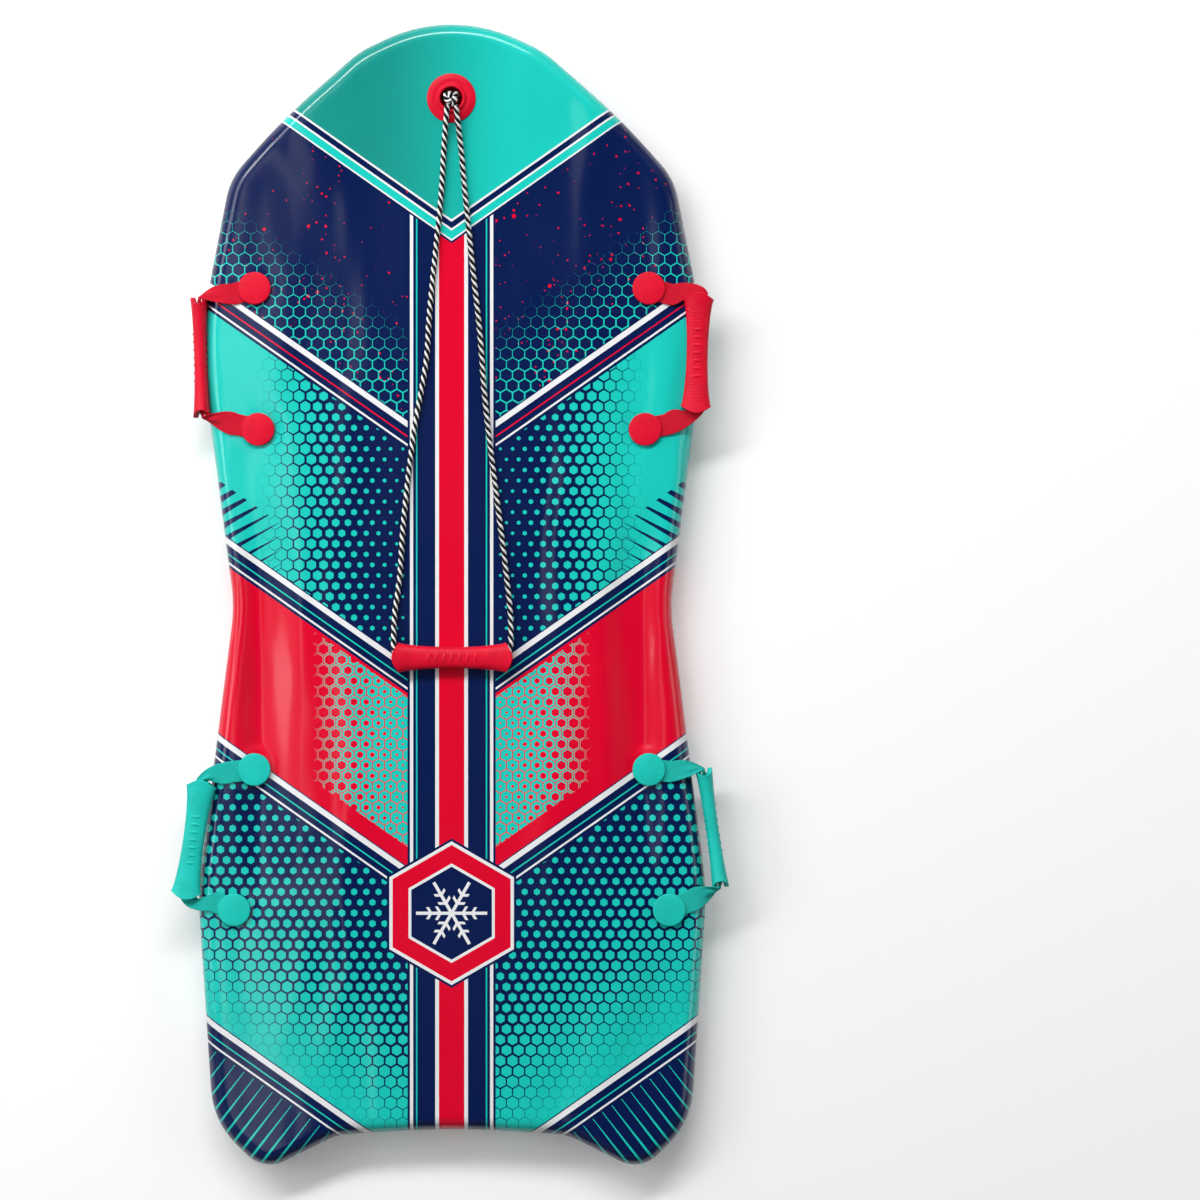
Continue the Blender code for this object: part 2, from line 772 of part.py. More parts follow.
def bezier(points, share):
    """A point of a cubic curve and its direction."""
    a, b, c, d = points
    rest = 1 - share
    spot = a * rest**3 + b * 3 * rest**2 * share + c * 3 * rest * share**2 + d * share**3
    way = (b - a) * rest**2 + (c - b) * 2 * rest * share + (d - c) * share**2
    return spot, way.normalized()


def strap_leg(name, frame, end, finish, parent):
    """The strap from its fold line over the rail and round into the grip's mouth."""
    start = frame.half_pitch * end
    mouth = frame.slide + end * (GRIP_LENGTH / 2 + 2 * GAP + GAP)
    entry = mouth + end * STRAP_STRAIGHT
    route = [
        Vector((start, HINGE_REACH + GAP / 2, 0)),
        Vector((start, HINGE_REACH + STRAP_RUN, 0)),
        Vector((entry + end * WEB_TURN_HAND, frame.reach, 0)),
        Vector((entry, frame.reach, 0)),
    ]
    low, high = GAP + WEB_THICK / 2, frame.height
    stations = []
    for step in range(STRAP_STEPS + 1):
        share = step / STRAP_STEPS
        spot, way = bezier(route, share)
        level = low + (high - low) * smooth((share - STRAP_RISE_FROM) / (1 - STRAP_RISE_FROM))
        width = WEB_WIDTH + (WEB_TURN_WIDTH - WEB_WIDTH) * smooth(share / STRAP_NARROW_BY)
        across = Vector((-way.y, way.x, 0)) * end
        if frame.lie == "edge":
            twist = math.pi / 2 * smooth((share - STRAP_TWIST_FROM) / (1 - STRAP_TWIST_FROM))
            across = across * math.cos(twist) + Vector((0, 0, 1)) * math.sin(twist)
        sideways = frame.along * across.x + frame.outward * across.y + frame.up * across.z
        stations.append((frame.point(spot.x, spot.y, level), sideways, width))
    stations.append((frame.point(mouth, frame.reach, high), sideways, width))
    webbing(name, stations, finish, parent, frame.hinge)


def side_handle(name, finish):
    """One side handle: buttons, tabs, legs, and the grip with its strap inside."""
    frame = HandleFrame(name)
    for end, button in zip(("fore", "aft"), frame.buttons):
        side_button(f"{name}_{end}", button, finish)
        strap_tab(f"{name}_{end}", button, frame.outward, finish)
    swing = pivot(f"{name}_swing_axis", frame.hinge)
    strap_leg(f"{name}_fore_leg", frame, 1, finish, swing)
    strap_leg(f"{name}_aft_leg", frame, -1, finish, swing)
    centre, axis, broad_way, thin_way = frame.grip_axes()
    roll = pivot(f"{name}_roll_axis", centre - frame.hinge, swing)
    moulded_grip(f"{name}_grip", (centre, axis, broad_way, thin_way), finish, roll, centre)
    half = axis * (GRIP_LENGTH / 2 + 2 * GAP)
    ends = [(centre + half * share, broad_way, WEB_BORE_WIDTH) for share in (-1, 0, 1)]
    webbing(f"{name}_inner_strap", ends, finish, roll, centre)


def plug_place(height):
    """A place on the rope plug's axis, up from its seat on the deck."""
    seat = Vector((*PLUG, deck_z(*PLUG)))
    return seat + PLUG_AXIS * height


def rope_plug():
    """The two halves of the rope plug, telescoped through the nose."""
    turned(
        "rope_plug_top",
        [
            (BARREL_BORE, FLANGE_THICK),
            (BARREL_BORE + BEAD_SLOPE, BEAD_TOP),
            (BEAD_RADIUS, BEAD_TOP),
            (BEAD_RADIUS + BEAD_SLOPE, FLANGE_THICK),
            (FLANGE_RADIUS - FLANGE_EDGE, FLANGE_THICK),
            (FLANGE_RADIUS, FLANGE_THICK * 0.5),
            (FLANGE_RADIUS, GAP),
            (BARREL_RADIUS, GAP),
            (BARREL_RADIUS, -BARREL_LENGTH),
            (BARREL_BORE, -BARREL_LENGTH),
        ],
        20,
        RED_FINISH,
        plug_place(0),
        PLUG_TILT,
        closed=True,
    )
    base = -BOARD_ALONG_PLUG
    turned(
        "rope_plug_base",
        [
            (NECK_BORE, base + SLEEVE_LENGTH),
            (SLEEVE_RADIUS, base + SLEEVE_LENGTH),
            (SLEEVE_RADIUS, -BARREL_LENGTH - GAP),
            (BARREL_RADIUS, -BARREL_LENGTH - GAP),
            (BARREL_RADIUS, base - GAP),
            (FLANGE_RADIUS, base - GAP),
            (FLANGE_RADIUS, base - FLANGE_THICK * 0.6),
            (FLANGE_RADIUS - FLANGE_EDGE, base - FLANGE_THICK),
            (SLEEVE_BORE, base - FLANGE_THICK),
            (SLEEVE_BORE, base + SLEEVE_LENGTH - NECK_LENGTH),
            (NECK_BORE, base + SLEEVE_LENGTH - NECK_LENGTH),
        ],
        20,
        RED_FINISH,
        plug_place(0),
        PLUG_TILT,
        closed=True,
    )


def knot(name, height, radius, half_height):
    """A rope knot, as the rounded lump that it fills."""
    bm = bmesh.new()
    bmesh.ops.create_uvsphere(bm, u_segments=12, v_segments=8, radius=1.0)
    bmesh.ops.scale(bm, vec=(radius, radius, half_height), verts=bm.verts)
    mesh = bpy.data.meshes.new(name)
    bm.to_mesh(mesh)
    bm.free()
    mesh.shade_smooth()
    place(name, mesh, ROPE, location=plug_place(height), rotation=(PLUG_TILT, 0, 0))


def plug_rope():
    """The knots above and below the plug's neck, and the doubled rope between them."""
    tail_height = -BOARD_ALONG_PLUG + TAIL_KNOT_HALF_HEIGHT
    knot("rope_knot_top", KNOT_LIFT, KNOT_RADIUS, KNOT_HALF_HEIGHT)
    knot("rope_knot_below", tail_height, TAIL_KNOT_RADIUS, TAIL_KNOT_HALF_HEIGHT)
    top = KNOT_LIFT - KNOT_HALF_HEIGHT - GAP
    foot = tail_height + TAIL_KNOT_HALF_HEIGHT + GAP
    turns = [math.pi / 2 - math.pi * step / 6 for step in range(7)]
    right = [(ROPE_RADIUS * (1 + math.cos(turn)), ROPE_RADIUS * math.sin(turn)) for turn in turns]
    outline = right + [(-x, -y) for x, y in right]
    piece = flat_plate("rope_doubled", [outline], top - foot, ROPE, (0, 0, 0), 0)
    piece.location = plug_place((top + foot) / 2)
    piece.rotation_euler = (PLUG_TILT, 0, 0)


def through(points, share):
    """A point of the smooth curve through a list of points, at a share of their count."""
    place_at = share * (len(points) - 1)
    index = min(int(place_at), len(points) - 2)
    part = place_at - index
    a = points[max(index - 1, 0)]
    b, c = points[index], points[index + 1]
    d = points[min(index + 2, len(points) - 1)]
    bend = (b * 3 - a - c * 3 + d) * part**3 + (a * 2 - b * 5 + c * 4 - d) * part**2
    return (bend + (c - a) * part + b * 2) / 2


def evenly(points, step):
    """Points at equal steps along the smooth curve through a list of points."""
    fine = [through(points, share / 600) for share in range(601)]
    runs = [0.0]
    for before, after in zip(fine, fine[1:]):
        runs.append(runs[-1] + (after - before).length)
    count = round(runs[-1] / step)
    spaced, index = [], 0
    for number in range(count + 1):
        wanted = runs[-1] * number / count
        while index < len(fine) - 2 and runs[index + 1] < wanted:
            index += 1
        part = (wanted - runs[index]) / (runs[index + 1] - runs[index])
        spaced.append(fine[index].lerp(fine[index + 1], part))
    return spaced


def strand(start_side, sides, grip, hand):
    """Centre points of one strand, from the knot to where it bends into the pull grip."""
    points = []
    for back, lift in ROPE_OVER_PLUG:
        y = PLUG.y - back
        x = start_side + (sides[0][0] - start_side) * back / ROPE_SPREAD
        points.append(Vector((x, y, deck_z(x, y) + lift)))
    bend_x = grip.x + hand * PULL_BEND_SIDE
    bend_y = grip.y + ROPE_BEND
    route = [(x, PLUG.y - back) for x, back in sides]
    for x, y in route:
        climb = smooth((bend_y + ROPE_CLIMB - y) / ROPE_CLIMB)
        resting = deck_z(x, y) + ROPE_RADIUS + ROPE_LIFT
        points.append(Vector((x, y, resting + (grip.z - resting) * climb)))
    points.append(Vector((bend_x, bend_y + ROPE_LEAD, grip.z)))
    return evenly(points, ROPE_STEP)


def pull_rope(swing, origin, grip):
    """The rope: one strand down, through the pull grip, and one strand back."""
    left = strand(ROPE_START_SIDE[0], ROPE_LEFT, grip, -1)
    right = strand(ROPE_START_SIDE[1], ROPE_RIGHT, grip, 1)
    bends = []
    for hand in (-1, 1):
        centre = Vector((hand * (PULL_BEND_SIDE - ROPE_BEND), ROPE_BEND, 0))
        turns = [math.pi / 2 * step / 4 for step in range(5)]
        arms = [Vector((hand * math.cos(turn), -math.sin(turn), 0)) for turn in turns]
        bends.append([grip + centre + arm * ROPE_BEND for arm in arms])
    middle = [grip + Vector((x, 0, 0)) for x in ROPE_MIDDLE]
    route = left + bends[0] + middle + bends[1][::-1] + right[::-1]
    curve = bpy.data.curves.new("pull_rope", "CURVE")
    curve.dimensions = "3D"
    curve.bevel_depth = ROPE_RADIUS
    curve.bevel_resolution = 2
    curve.use_fill_caps = True
    spline = curve.splines.new("POLY")
    spline.points.add(len(route) - 1)
    for point, spot in zip(spline.points, route):
        point.co = (*(spot - origin), 1)
    place("pull_rope", curve, ROPE, swing)


def pull_handle():
    """The pull rope and its grip, on the axis where the rope leaves its knot."""
    origin = plug_place(KNOT_LIFT + KNOT_AXIS_LIFT)
    swing = pivot("pull_rope_swing_axis", origin)
    x, y = PLUG.x + PULL_GRIP_SIDE, PLUG.y - PULL_GRIP_BACK
    grip = Vector((x, y, deck_z(x, y) + GRIP_HALF_THICK[1] + GRIP_CLEARANCE))
    axes = (grip, Vector((1, 0, 0)), Vector((0, 1, 0)), Vector((0, 0, 1)))
    moulded_grip("pull_grip", axes, RED_FINISH, swing, origin)
    pull_rope(swing, origin, grip)


def button_places():
    """Each side button's place on the deck, set in from the edge beside it."""
    places = {}
    for name, (side, middle, past, insets, _, _) in HANDLES.items():
        for end, hand, into in zip(("fore", "aft"), (1, -1), insets):
            y = middle + hand * (GRIP_LENGTH / 2 + past)
            places[f"{name}_{end}"] = Vector((side * (edge_x(y) - into), y))
    return places


for old in list(bpy.data.objects):
    bpy.data.objects.remove(old, do_unlink=True)

SLED = collection("foam_sled")
FOAM = material("foam", FOAM_WHITE, 0.85)
DECK = material("deck_film", DECK_NAVY, 0.28)
SLICK_FINISH = material("slick_sheet", SLICK_BLUE, 0.15)
TEAL_FINISH = material("teal_moulding", TEAL, 0.45)
RED_FINISH = material("red_moulding", RED, 0.45)
ROPE = material("rope", ROPE_GREY, 0.8)

OUTLINE = board_outline()
BUTTONS = button_places()
PLUG = Vector((0.0, NOSE_Y - PLUG_FROM_NOSE))
PLUG_SLOPE = rocker_slope(PLUG.y)
PLUG_TILT = math.atan(PLUG_SLOPE)
PLUG_AXIS = Vector((0, -math.sin(PLUG_TILT), math.cos(PLUG_TILT)))
BOARD_ALONG_PLUG = DECK_HEIGHT * math.cos(PLUG_TILT)
PLUG_BELOW = PLUG - PLUG_AXIS.xy * BOARD_ALONG_PLUG

HOLE_RADIUS = POST_RADIUS + POST_CLEARANCE
BARREL_HOLE = BARREL_RADIUS + BARREL_CLEARANCE
FLAT_ROWS = int((ROCKER_START - TAIL_Y) / FILL_ROW_STEP)
FILL_ROWS = [ROCKER_START - FILL_ROW_STEP * step for step in range(1, FLAT_ROWS + 1)]
FILL_ROWS += [ROCKER_START + ROCKER_ROW_STEP * step for step in range(int(ROCKER_LENGTH / ROCKER_ROW_STEP))]
TOP_PLAN = Plan(
    inset(OUTLINE, RAIL_RADIUS),
    [circle(button, HOLE_RADIUS, 12) for button in BUTTONS.values()] + [circle(PLUG, BARREL_HOLE, 16)],
    loops=[circle(button, SEAT_RADIUS, 12) for button in BUTTONS.values()]
    + [circle(PLUG, PLUG_SEAT_RADIUS, 16)],
    columns=(-0.185, -FLAT_HALF, -0.045, 0.045, FLAT_HALF, 0.185),
    rows=FILL_ROWS,
    keep_off=0.034,
)
CHANNEL_LOOPS, CHANNEL_KEELS = channel_lines()
FLOOR_PLAN = Plan(
    inset(OUTLINE, FLOOR_RING),
    [circle(button, HOLE_RADIUS, 12) for button in BUTTONS.values()]
    + [circle(PLUG_BELOW, BARREL_HOLE, 16)],
    loops=[circle(button, RECESS_RADIUS, 12) for button in BUTTONS.values()]
    + [circle(button, RECESS_RADIUS + RECESS_WALL, 12) for button in BUTTONS.values()]
    + [circle(PLUG_BELOW, PLUG_SEAT_RADIUS, 16)]
    + CHANNEL_LOOPS,
    lines=CHANNEL_KEELS,
    columns=(-0.18, -0.09, 0.0, 0.09, 0.18),
    rows=FILL_ROWS,
    keep_off=0.034,
)

foam_core()
deck_skin()
slick_base()
for handle in HANDLES:
    side_handle(handle, RED_FINISH if handle.startswith("front") else TEAL_FINISH)
rope_plug()
plug_rope()
pull_handle()
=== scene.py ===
"""Looks of the foam slider sled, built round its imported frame.

The board is wrapped in a glossy printed film and runs on a slick sheet with long channels.
Webbing straps, clamped under domed buttons, carry waisted moulded grips, and a twisted rope
runs from a knot in the nose plug through a pull grip and back. Sizes are metres, +Y points at
the nose, +X at the rider's right and +Z up.
"""

import json
import logging
import math
from collections.abc import Callable, Sequence
from dataclasses import dataclass
from enum import Enum

import bmesh
import bpy
import numpy as np
from mathutils import Matrix, Vector, noise
from mathutils.geometry import delaunay_2d_cdt

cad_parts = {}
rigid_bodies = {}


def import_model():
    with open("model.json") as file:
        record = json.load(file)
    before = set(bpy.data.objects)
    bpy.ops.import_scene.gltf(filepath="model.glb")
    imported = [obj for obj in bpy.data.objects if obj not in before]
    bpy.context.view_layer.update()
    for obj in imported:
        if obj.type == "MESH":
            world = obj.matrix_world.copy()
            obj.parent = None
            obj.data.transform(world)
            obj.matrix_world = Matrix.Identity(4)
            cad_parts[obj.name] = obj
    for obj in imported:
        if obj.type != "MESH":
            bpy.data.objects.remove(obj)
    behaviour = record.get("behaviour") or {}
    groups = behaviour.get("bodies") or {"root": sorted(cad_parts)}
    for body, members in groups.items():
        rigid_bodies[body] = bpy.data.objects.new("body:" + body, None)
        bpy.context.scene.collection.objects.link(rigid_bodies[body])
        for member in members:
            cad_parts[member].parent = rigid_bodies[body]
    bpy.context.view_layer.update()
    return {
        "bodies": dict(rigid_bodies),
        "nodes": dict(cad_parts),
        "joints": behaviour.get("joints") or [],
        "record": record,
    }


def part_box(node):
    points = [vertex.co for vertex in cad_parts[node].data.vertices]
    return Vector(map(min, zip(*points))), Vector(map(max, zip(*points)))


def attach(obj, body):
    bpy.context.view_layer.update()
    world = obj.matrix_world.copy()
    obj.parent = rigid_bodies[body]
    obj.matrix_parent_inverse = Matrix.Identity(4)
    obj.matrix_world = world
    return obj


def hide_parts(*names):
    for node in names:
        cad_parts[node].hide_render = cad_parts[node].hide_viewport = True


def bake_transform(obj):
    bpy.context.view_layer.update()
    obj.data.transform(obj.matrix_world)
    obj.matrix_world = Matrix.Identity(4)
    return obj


LOG = logging.getLogger("foam_sled")
MM = 0.001
GAP = 0.0003
ROOT_3 = math.sqrt(3)

Color = tuple[float, float, float]
Place = tuple[float, float, float]
Spot = tuple[float, float]
Lines = tuple[tuple[float, float, Color], ...]
Row = Sequence[Vector]
Rows = Sequence[Row]
Array = np.ndarray
Socket = bpy.types.NodeSocket
Material = bpy.types.Material
Piece = bpy.types.Object
Vert = bmesh.types.BMVert

TEAL: Color = (0.012, 0.630, 0.545)
# A darker teal used as painted shade over the left of the nose cap.
SHADED_TEAL: Color = (0.011, 0.305, 0.262)
RED: Color = (0.800, 0.0016, 0.028)
NAVY: Color = (0.0022, 0.0120, 0.0820)
WHITE: Color = (0.88, 0.89, 0.91)
BLACK: Color = (0.006, 0.006, 0.007)
WHITE_YARN: Color = (0.90, 0.91, 0.90)


class Lie(Enum):
    """How a side grip has come to rest beside the rail."""

    FLAT = "on its broad face"
    EDGE = "on its edge"


class Body(Enum):
    """Rigid bodies of the frame that don't belong to a side handle."""

    BOARD = "board"
    PULL_LINE = "pull_line"


def ease(value: float) -> float:
    """Ease from 0 to 1."""
    value = min(max(value, 0.0), 1.0)
    return value * value * (3 - 2 * value)


def eased(values: Array) -> Array:
    """Ease an array from 0 to 1."""
    held = np.clip(values, 0.0, 1.0)
    return held * held * (3 - 2 * held)


def pressed(reach: Array, radius: float, blend: float) -> Array:
    """1 within a radius, and from there ease to 0 over a blend."""
    return 1 - eased((reach - radius) / blend)


def signed_power(value: float, power: float) -> float:
    """Raise a number's size to a power and keep its sign."""
    return math.copysign(abs(value) ** power, value)


def shaded(tint: Color, share: float) -> Color:
    """A colour made darker or paler."""
    return tuple(min(1.0, share * part) for part in tint)


def wire(source: Socket, port: Socket) -> None:
    """Lead one shader socket to another."""
    port.id_data.links.new(source, port)


class Draft:
    """A mesh in the making: grids of points, with finishes and surface coordinates."""

    def __init__(self) -> None:
        """Start with nothing."""
        self.bm = bmesh.new()
        self.layer = self.bm.loops.layers.uv.new("surface")

    def ring(self, points: Row) -> list[Vert]:
        """Add points and return their vertices."""
        return [self.bm.verts.new(point) for point in points]

    def face(
        self,
        corners: Sequence[Vert],
        finish: int = 0,
        marks: Sequence[Spot] | None = None,
    ) -> None:
        """Add a face.

        Args:
            corners: Its vertices in order.
            finish: The number of its material.
            marks: Surface coordinates of its corners.
        """
        made = self.bm.faces.new(corners)
        made.material_index = finish
        if marks is not None:
            for loop, mark in zip(made.loops, marks):
                loop[self.layer].uv = mark

    def skin(
        self,
        rows: Rows,
        along: Sequence[float] | None = None,
        across: Sequence[float] | None = None,
        finishes: Sequence[int] | None = None,
    ) -> list[list[Vert]]:
        """Skin a tube through rows of points, each row a closed ring.

        Args:
            rows: The rings, all with the same count of points.
            along: Surface coordinate of each row.
            across: Surface coordinate of each point of a row, and of its first point again.
            finishes: Material number of each strip between two points of a row.

        Returns:
            The vertices of each row.
        """
        count = len(rows[0])
        along = along if along is not None else range(len(rows))
        across = across if across is not None else range(count + 1)
        placed = [self.ring(row) for row in rows]
        for number, (low, high) in enumerate(zip(placed, placed[1:])):
            u, v = along[number], along[number + 1]
            for index in range(count):
                after = (index + 1) % count
                s, t = across[index], across[index + 1]
                self.face(
                    (low[index], low[after], high[after], high[index]),
                    finishes[index] if finishes else 0,
                    ((u, s), (u, t), (v, t), (v, s)),
                )
        return placed

    def bands(self, rings: Sequence[Sequence[Vert]]) -> None:
        """Join closed rings of equal count, each to the next."""
        for first, second in zip(rings, rings[1:]):
            for index, low in enumerate(first):
                self.face((first[index - 1], low, second[index], second[index - 1]))

    def piece(self, name: str, finishes: Sequence[Material], crease: float = 38.0) -> Piece:
        """Close the draft and put it in the scene.

        Args:
            name: The piece's name.
            finishes: Its materials, in the order of their numbers.
            crease: Angle in degrees above which an edge stays sharp.

        Returns:
            The new object, at the origin.
        """
        bmesh.ops.remove_doubles(self.bm, verts=self.bm.verts, dist=1e-7)
        bmesh.ops.dissolve_degenerate(self.bm, dist=1e-7, edges=self.bm.edges)
        bmesh.ops.recalc_face_normals(self.bm, faces=self.bm.faces)
        mesh = bpy.data.meshes.new(name)
        self.bm.to_mesh(mesh)
        self.bm.free()
        mesh.shade_smooth()
        mesh.set_sharp_from_angle(angle=math.radians(crease))
        for finish in finishes:
            mesh.materials.append(finish)
        made = bpy.data.objects.new(name, mesh)
        bpy.context.scene.collection.objects.link(made)
        return made


class Field:
    """A number at every point of a surface, combined with ordinary arithmetic."""

    def __init__(self, tree: bpy.types.NodeTree, socket: Socket) -> None:
        """Wrap a shader socket."""
        self.tree = tree
        self.socket = socket

    def math(self, operation: str, *values: "Field | float") -> "Field":
        """Combine fields and numbers by one shader operation.

        Args:
            operation: The operation.
            values: Fields and numbers in their order.

        Returns:
            The result.
        """
        node = self.tree.nodes.new("ShaderNodeMath")
        node.operation = operation
        for port, value in zip(node.inputs, values):
            if isinstance(value, Field):
                wire(value.socket, port)
            else:
                port.default_value = value
        return Field(self.tree, node.outputs[0])

    def __add__(self, other: "Field | float") -> "Field":
        """Sum."""
        return self.math("ADD", self, other)

    def __sub__(self, other: "Field | float") -> "Field":
        """Difference."""
        return self.math("SUBTRACT", self, other)

    def __rsub__(self, other: float) -> "Field":
        """Difference from a number."""
        return self.math("SUBTRACT", other, self)

    def __mul__(self, other: "Field | float") -> "Field":
        """Product."""
        return self.math("MULTIPLY", self, other)

    def __truediv__(self, other: "Field | float") -> "Field":
        """Quotient."""
        return self.math("DIVIDE", self, other)

    def __abs__(self) -> "Field":
        """Size without sign."""
        return self.math("ABSOLUTE", self)

    __radd__ = __add__
    __rmul__ = __mul__

    def above(self, edge: "Field | float") -> "Field":
        """1 where this is more than an edge."""
        return self.math("GREATER_THAN", self, edge)

    def below(self, edge: "Field | float") -> "Field":
        """1 where this is less than an edge."""
        return self.math("LESS_THAN", self, edge)

    def within(self, low: float, high: float) -> "Field":
        """1 between two numbers."""
        return (self - (low + high) / 2).__abs__().below((high - low) / 2)

    def larger(self, other: "Field | float") -> "Field":
        """The larger of two."""
        return self.math("MAXIMUM", self, other)

    def smaller(self, other: "Field | float") -> "Field":
        """The smaller of two."""
        return self.math("MINIMUM", self, other)

    def wrapped(self, period: float) -> "Field":
        """Distance from the nearest multiple of a period, with its sign."""
        return self.math("WRAP", self, -period / 2, period / 2)

    def sine(self) -> "Field":
        """Sine of this angle."""
        return self.math("SINE", self)

    def hypot(self, other: "Field") -> "Field":
        """Distance from the middle, where this and another are its two parts."""
        square = self * self + other * other
        return self.math("SQRT", square)

    def ramp(self, low: float, high: float, start: float = 0.0, end: float = 1.0) -> "Field":
        """Ease from start at low to end at high."""
        node = self.tree.nodes.new("ShaderNodeMapRange")
        node.interpolation_type = "SMOOTHSTEP"
        wire(self.socket, node.inputs["Value"])
        for name, value in (("From Min", low), ("From Max", high), ("To Min", start), ("To Max", end)):
            node.inputs[name].default_value = value
        return Field(self.tree, node.outputs["Result"])


class Surface:
    """A material in the making: its shader, its coordinates and its painted coats."""

    def __init__(self, name: str) -> None:
        """Start a plain material."""
        self.material = bpy.data.materials.new(name)
        self.material.use_nodes = True
        self.tree = self.material.node_tree
        self.shader = self.tree.nodes["Principled BSDF"]
        self.places = self.tree.nodes.new("ShaderNodeTexCoord")

    def put(self, socket: str, value: float | Color) -> None:
        """Set a number or colour that is the same all over on the shader's own socket."""
        wide = (*value, 1.0) if isinstance(value, tuple) else value
        self.shader.inputs[socket].default_value = wide

    def lead(self, source: Socket, socket: str) -> None:
        """Lead a varying value to the shader."""
        wire(source, self.shader.inputs[socket])

    def split(self, kind: str, scale: float) -> list[Field]:
        """Coordinates as separate fields.

        Args:
            kind: Object for places on the whole sled, UV for places on the piece's own surface.
            scale: What they are multiplied by.

        Returns:
            The fields X, Y and Z.
        """
        node = self.tree.nodes.new("ShaderNodeSeparateXYZ")
        wire(self.places.outputs[kind], node.inputs[0])
        return [Field(self.tree, socket) * scale for socket in node.outputs]

    def stretched(self, kind: str, scale: Place) -> Socket:
        """Coordinates multiplied by three numbers, for a texture."""
        node = self.tree.nodes.new("ShaderNodeVectorMath")
        node.operation = "MULTIPLY"
        wire(self.places.outputs[kind], node.inputs[0])
        node.inputs[1].default_value = scale
        return node.outputs[0]

    def grain(
        self, scale: float, detail: float = 2.0, stretch: Place = (1, 1, 1), kind: str = "Object"
    ) -> Field:
        """Soft noise from 0 to 1, about scale bumps to the metre.

        Args:
            scale: Bumps to the metre.
            detail: Octaves.
            stretch: Multiplies the coordinates.
            kind: Object or UV.

        Returns:
            The noise.
        """
        node = self.tree.nodes.new("ShaderNodeTexNoise")
        wire(self.stretched(kind, stretch), node.inputs["Vector"])
        node.inputs["Scale"].default_value = scale
        node.inputs["Detail"].default_value = detail
        return Field(self.tree, node.outputs["Fac"])

    def cells(self, scale: float, output: str = "Distance", kind: str = "Object") -> Socket:
        """Scattered cells, about scale of them to the metre."""
        node = self.tree.nodes.new("ShaderNodeTexVoronoi")
        wire(self.places.outputs[kind], node.inputs["Vector"])
        node.inputs["Scale"].default_value = scale
        return node.outputs[output]

    def coat(self, under: Socket | Color, over: Socket | Color, mask: Field) -> Socket:
        """Paint one colour over another where a mask is 1, and return the result.

        Args:
            under: The lower colour.
            over: The upper colour.
            mask: Where the upper one shows.

        Returns:
            The painted colour.
        """
        node = self.tree.nodes.new("ShaderNodeMix")
        node.data_type = "RGBA"
        wire(mask.socket, node.inputs["Factor"])
        for port, value in ((node.inputs[6], under), (node.inputs[7], over)):
            if isinstance(value, tuple):
                port.default_value = (*value, 1.0)
            else:
                wire(value, port)
        return node.outputs[2]

    def striped(self, under: Socket | Color, place: Field, lines: Lines, mask: Field | float = 1.0) -> Socket:
        """Paint stripes over a colour.

        Args:
            under: What they are painted on.
            place: The field that the stripes lie along.
            lines: Lowest and highest value of each stripe, and its colour.
            mask: 1 where they are painted.

        Returns:
            The painted colour.
        """
        for low, high, paint in lines:
            under = self.coat(under, paint, place.within(low, high) * mask)
        return under

    def relief(self, heights: Sequence[tuple[Field, float]]) -> None:
        """Raise the surface's fine relief.

        Args:
            heights: Fields, each with its height in metres where it is 1.
        """
        normal = None
        for height, depth in heights:
            node = self.tree.nodes.new("ShaderNodeBump")
            node.inputs["Distance"].default_value = depth
            wire(height.socket, node.inputs["Height"])
            if normal is not None:
                wire(normal, node.inputs["Normal"])
            normal = node.outputs[0]
        self.lead(normal, "Normal")


@dataclass(frozen=True)
class Flute:
    """The long shallow hollow along each flank of the deck."""

    depth: float = 0.0026
    shaded_depth: float = 0.0085
    rear: float = -0.335
    front: float = 0.105
    line: float = 0.203
    inner: float = 0.045
    outer: float = 0.030

    def sunk(self, x: Array, y: Array) -> Array:
        """Its depth at places on the deck."""
        swell = np.sin(np.pi * np.clip((y - self.rear) / (self.front - self.rear), 0, 1)) ** 0.8
        aside = np.abs(x) - self.line
        reach = np.where(aside < 0, self.inner, self.outer)
        return self.depth * swell * eased(1 - np.abs(aside) / reach)

    def field(self, x: Field, y: Field) -> Field:
        """Its share of its depth, from shader coordinates in metres."""
        along = (y - self.rear) / (self.front - self.rear)
        swell = (along.larger(0.0).smaller(1.0) * math.pi).sine()
        out = abs(x)
        inner_wall = out.ramp(self.line - self.inner, self.line)
        outer_wall = out.ramp(self.line, self.line + self.outer, 1.0, 0.0)
        return swell * (inner_wall * outer_wall)


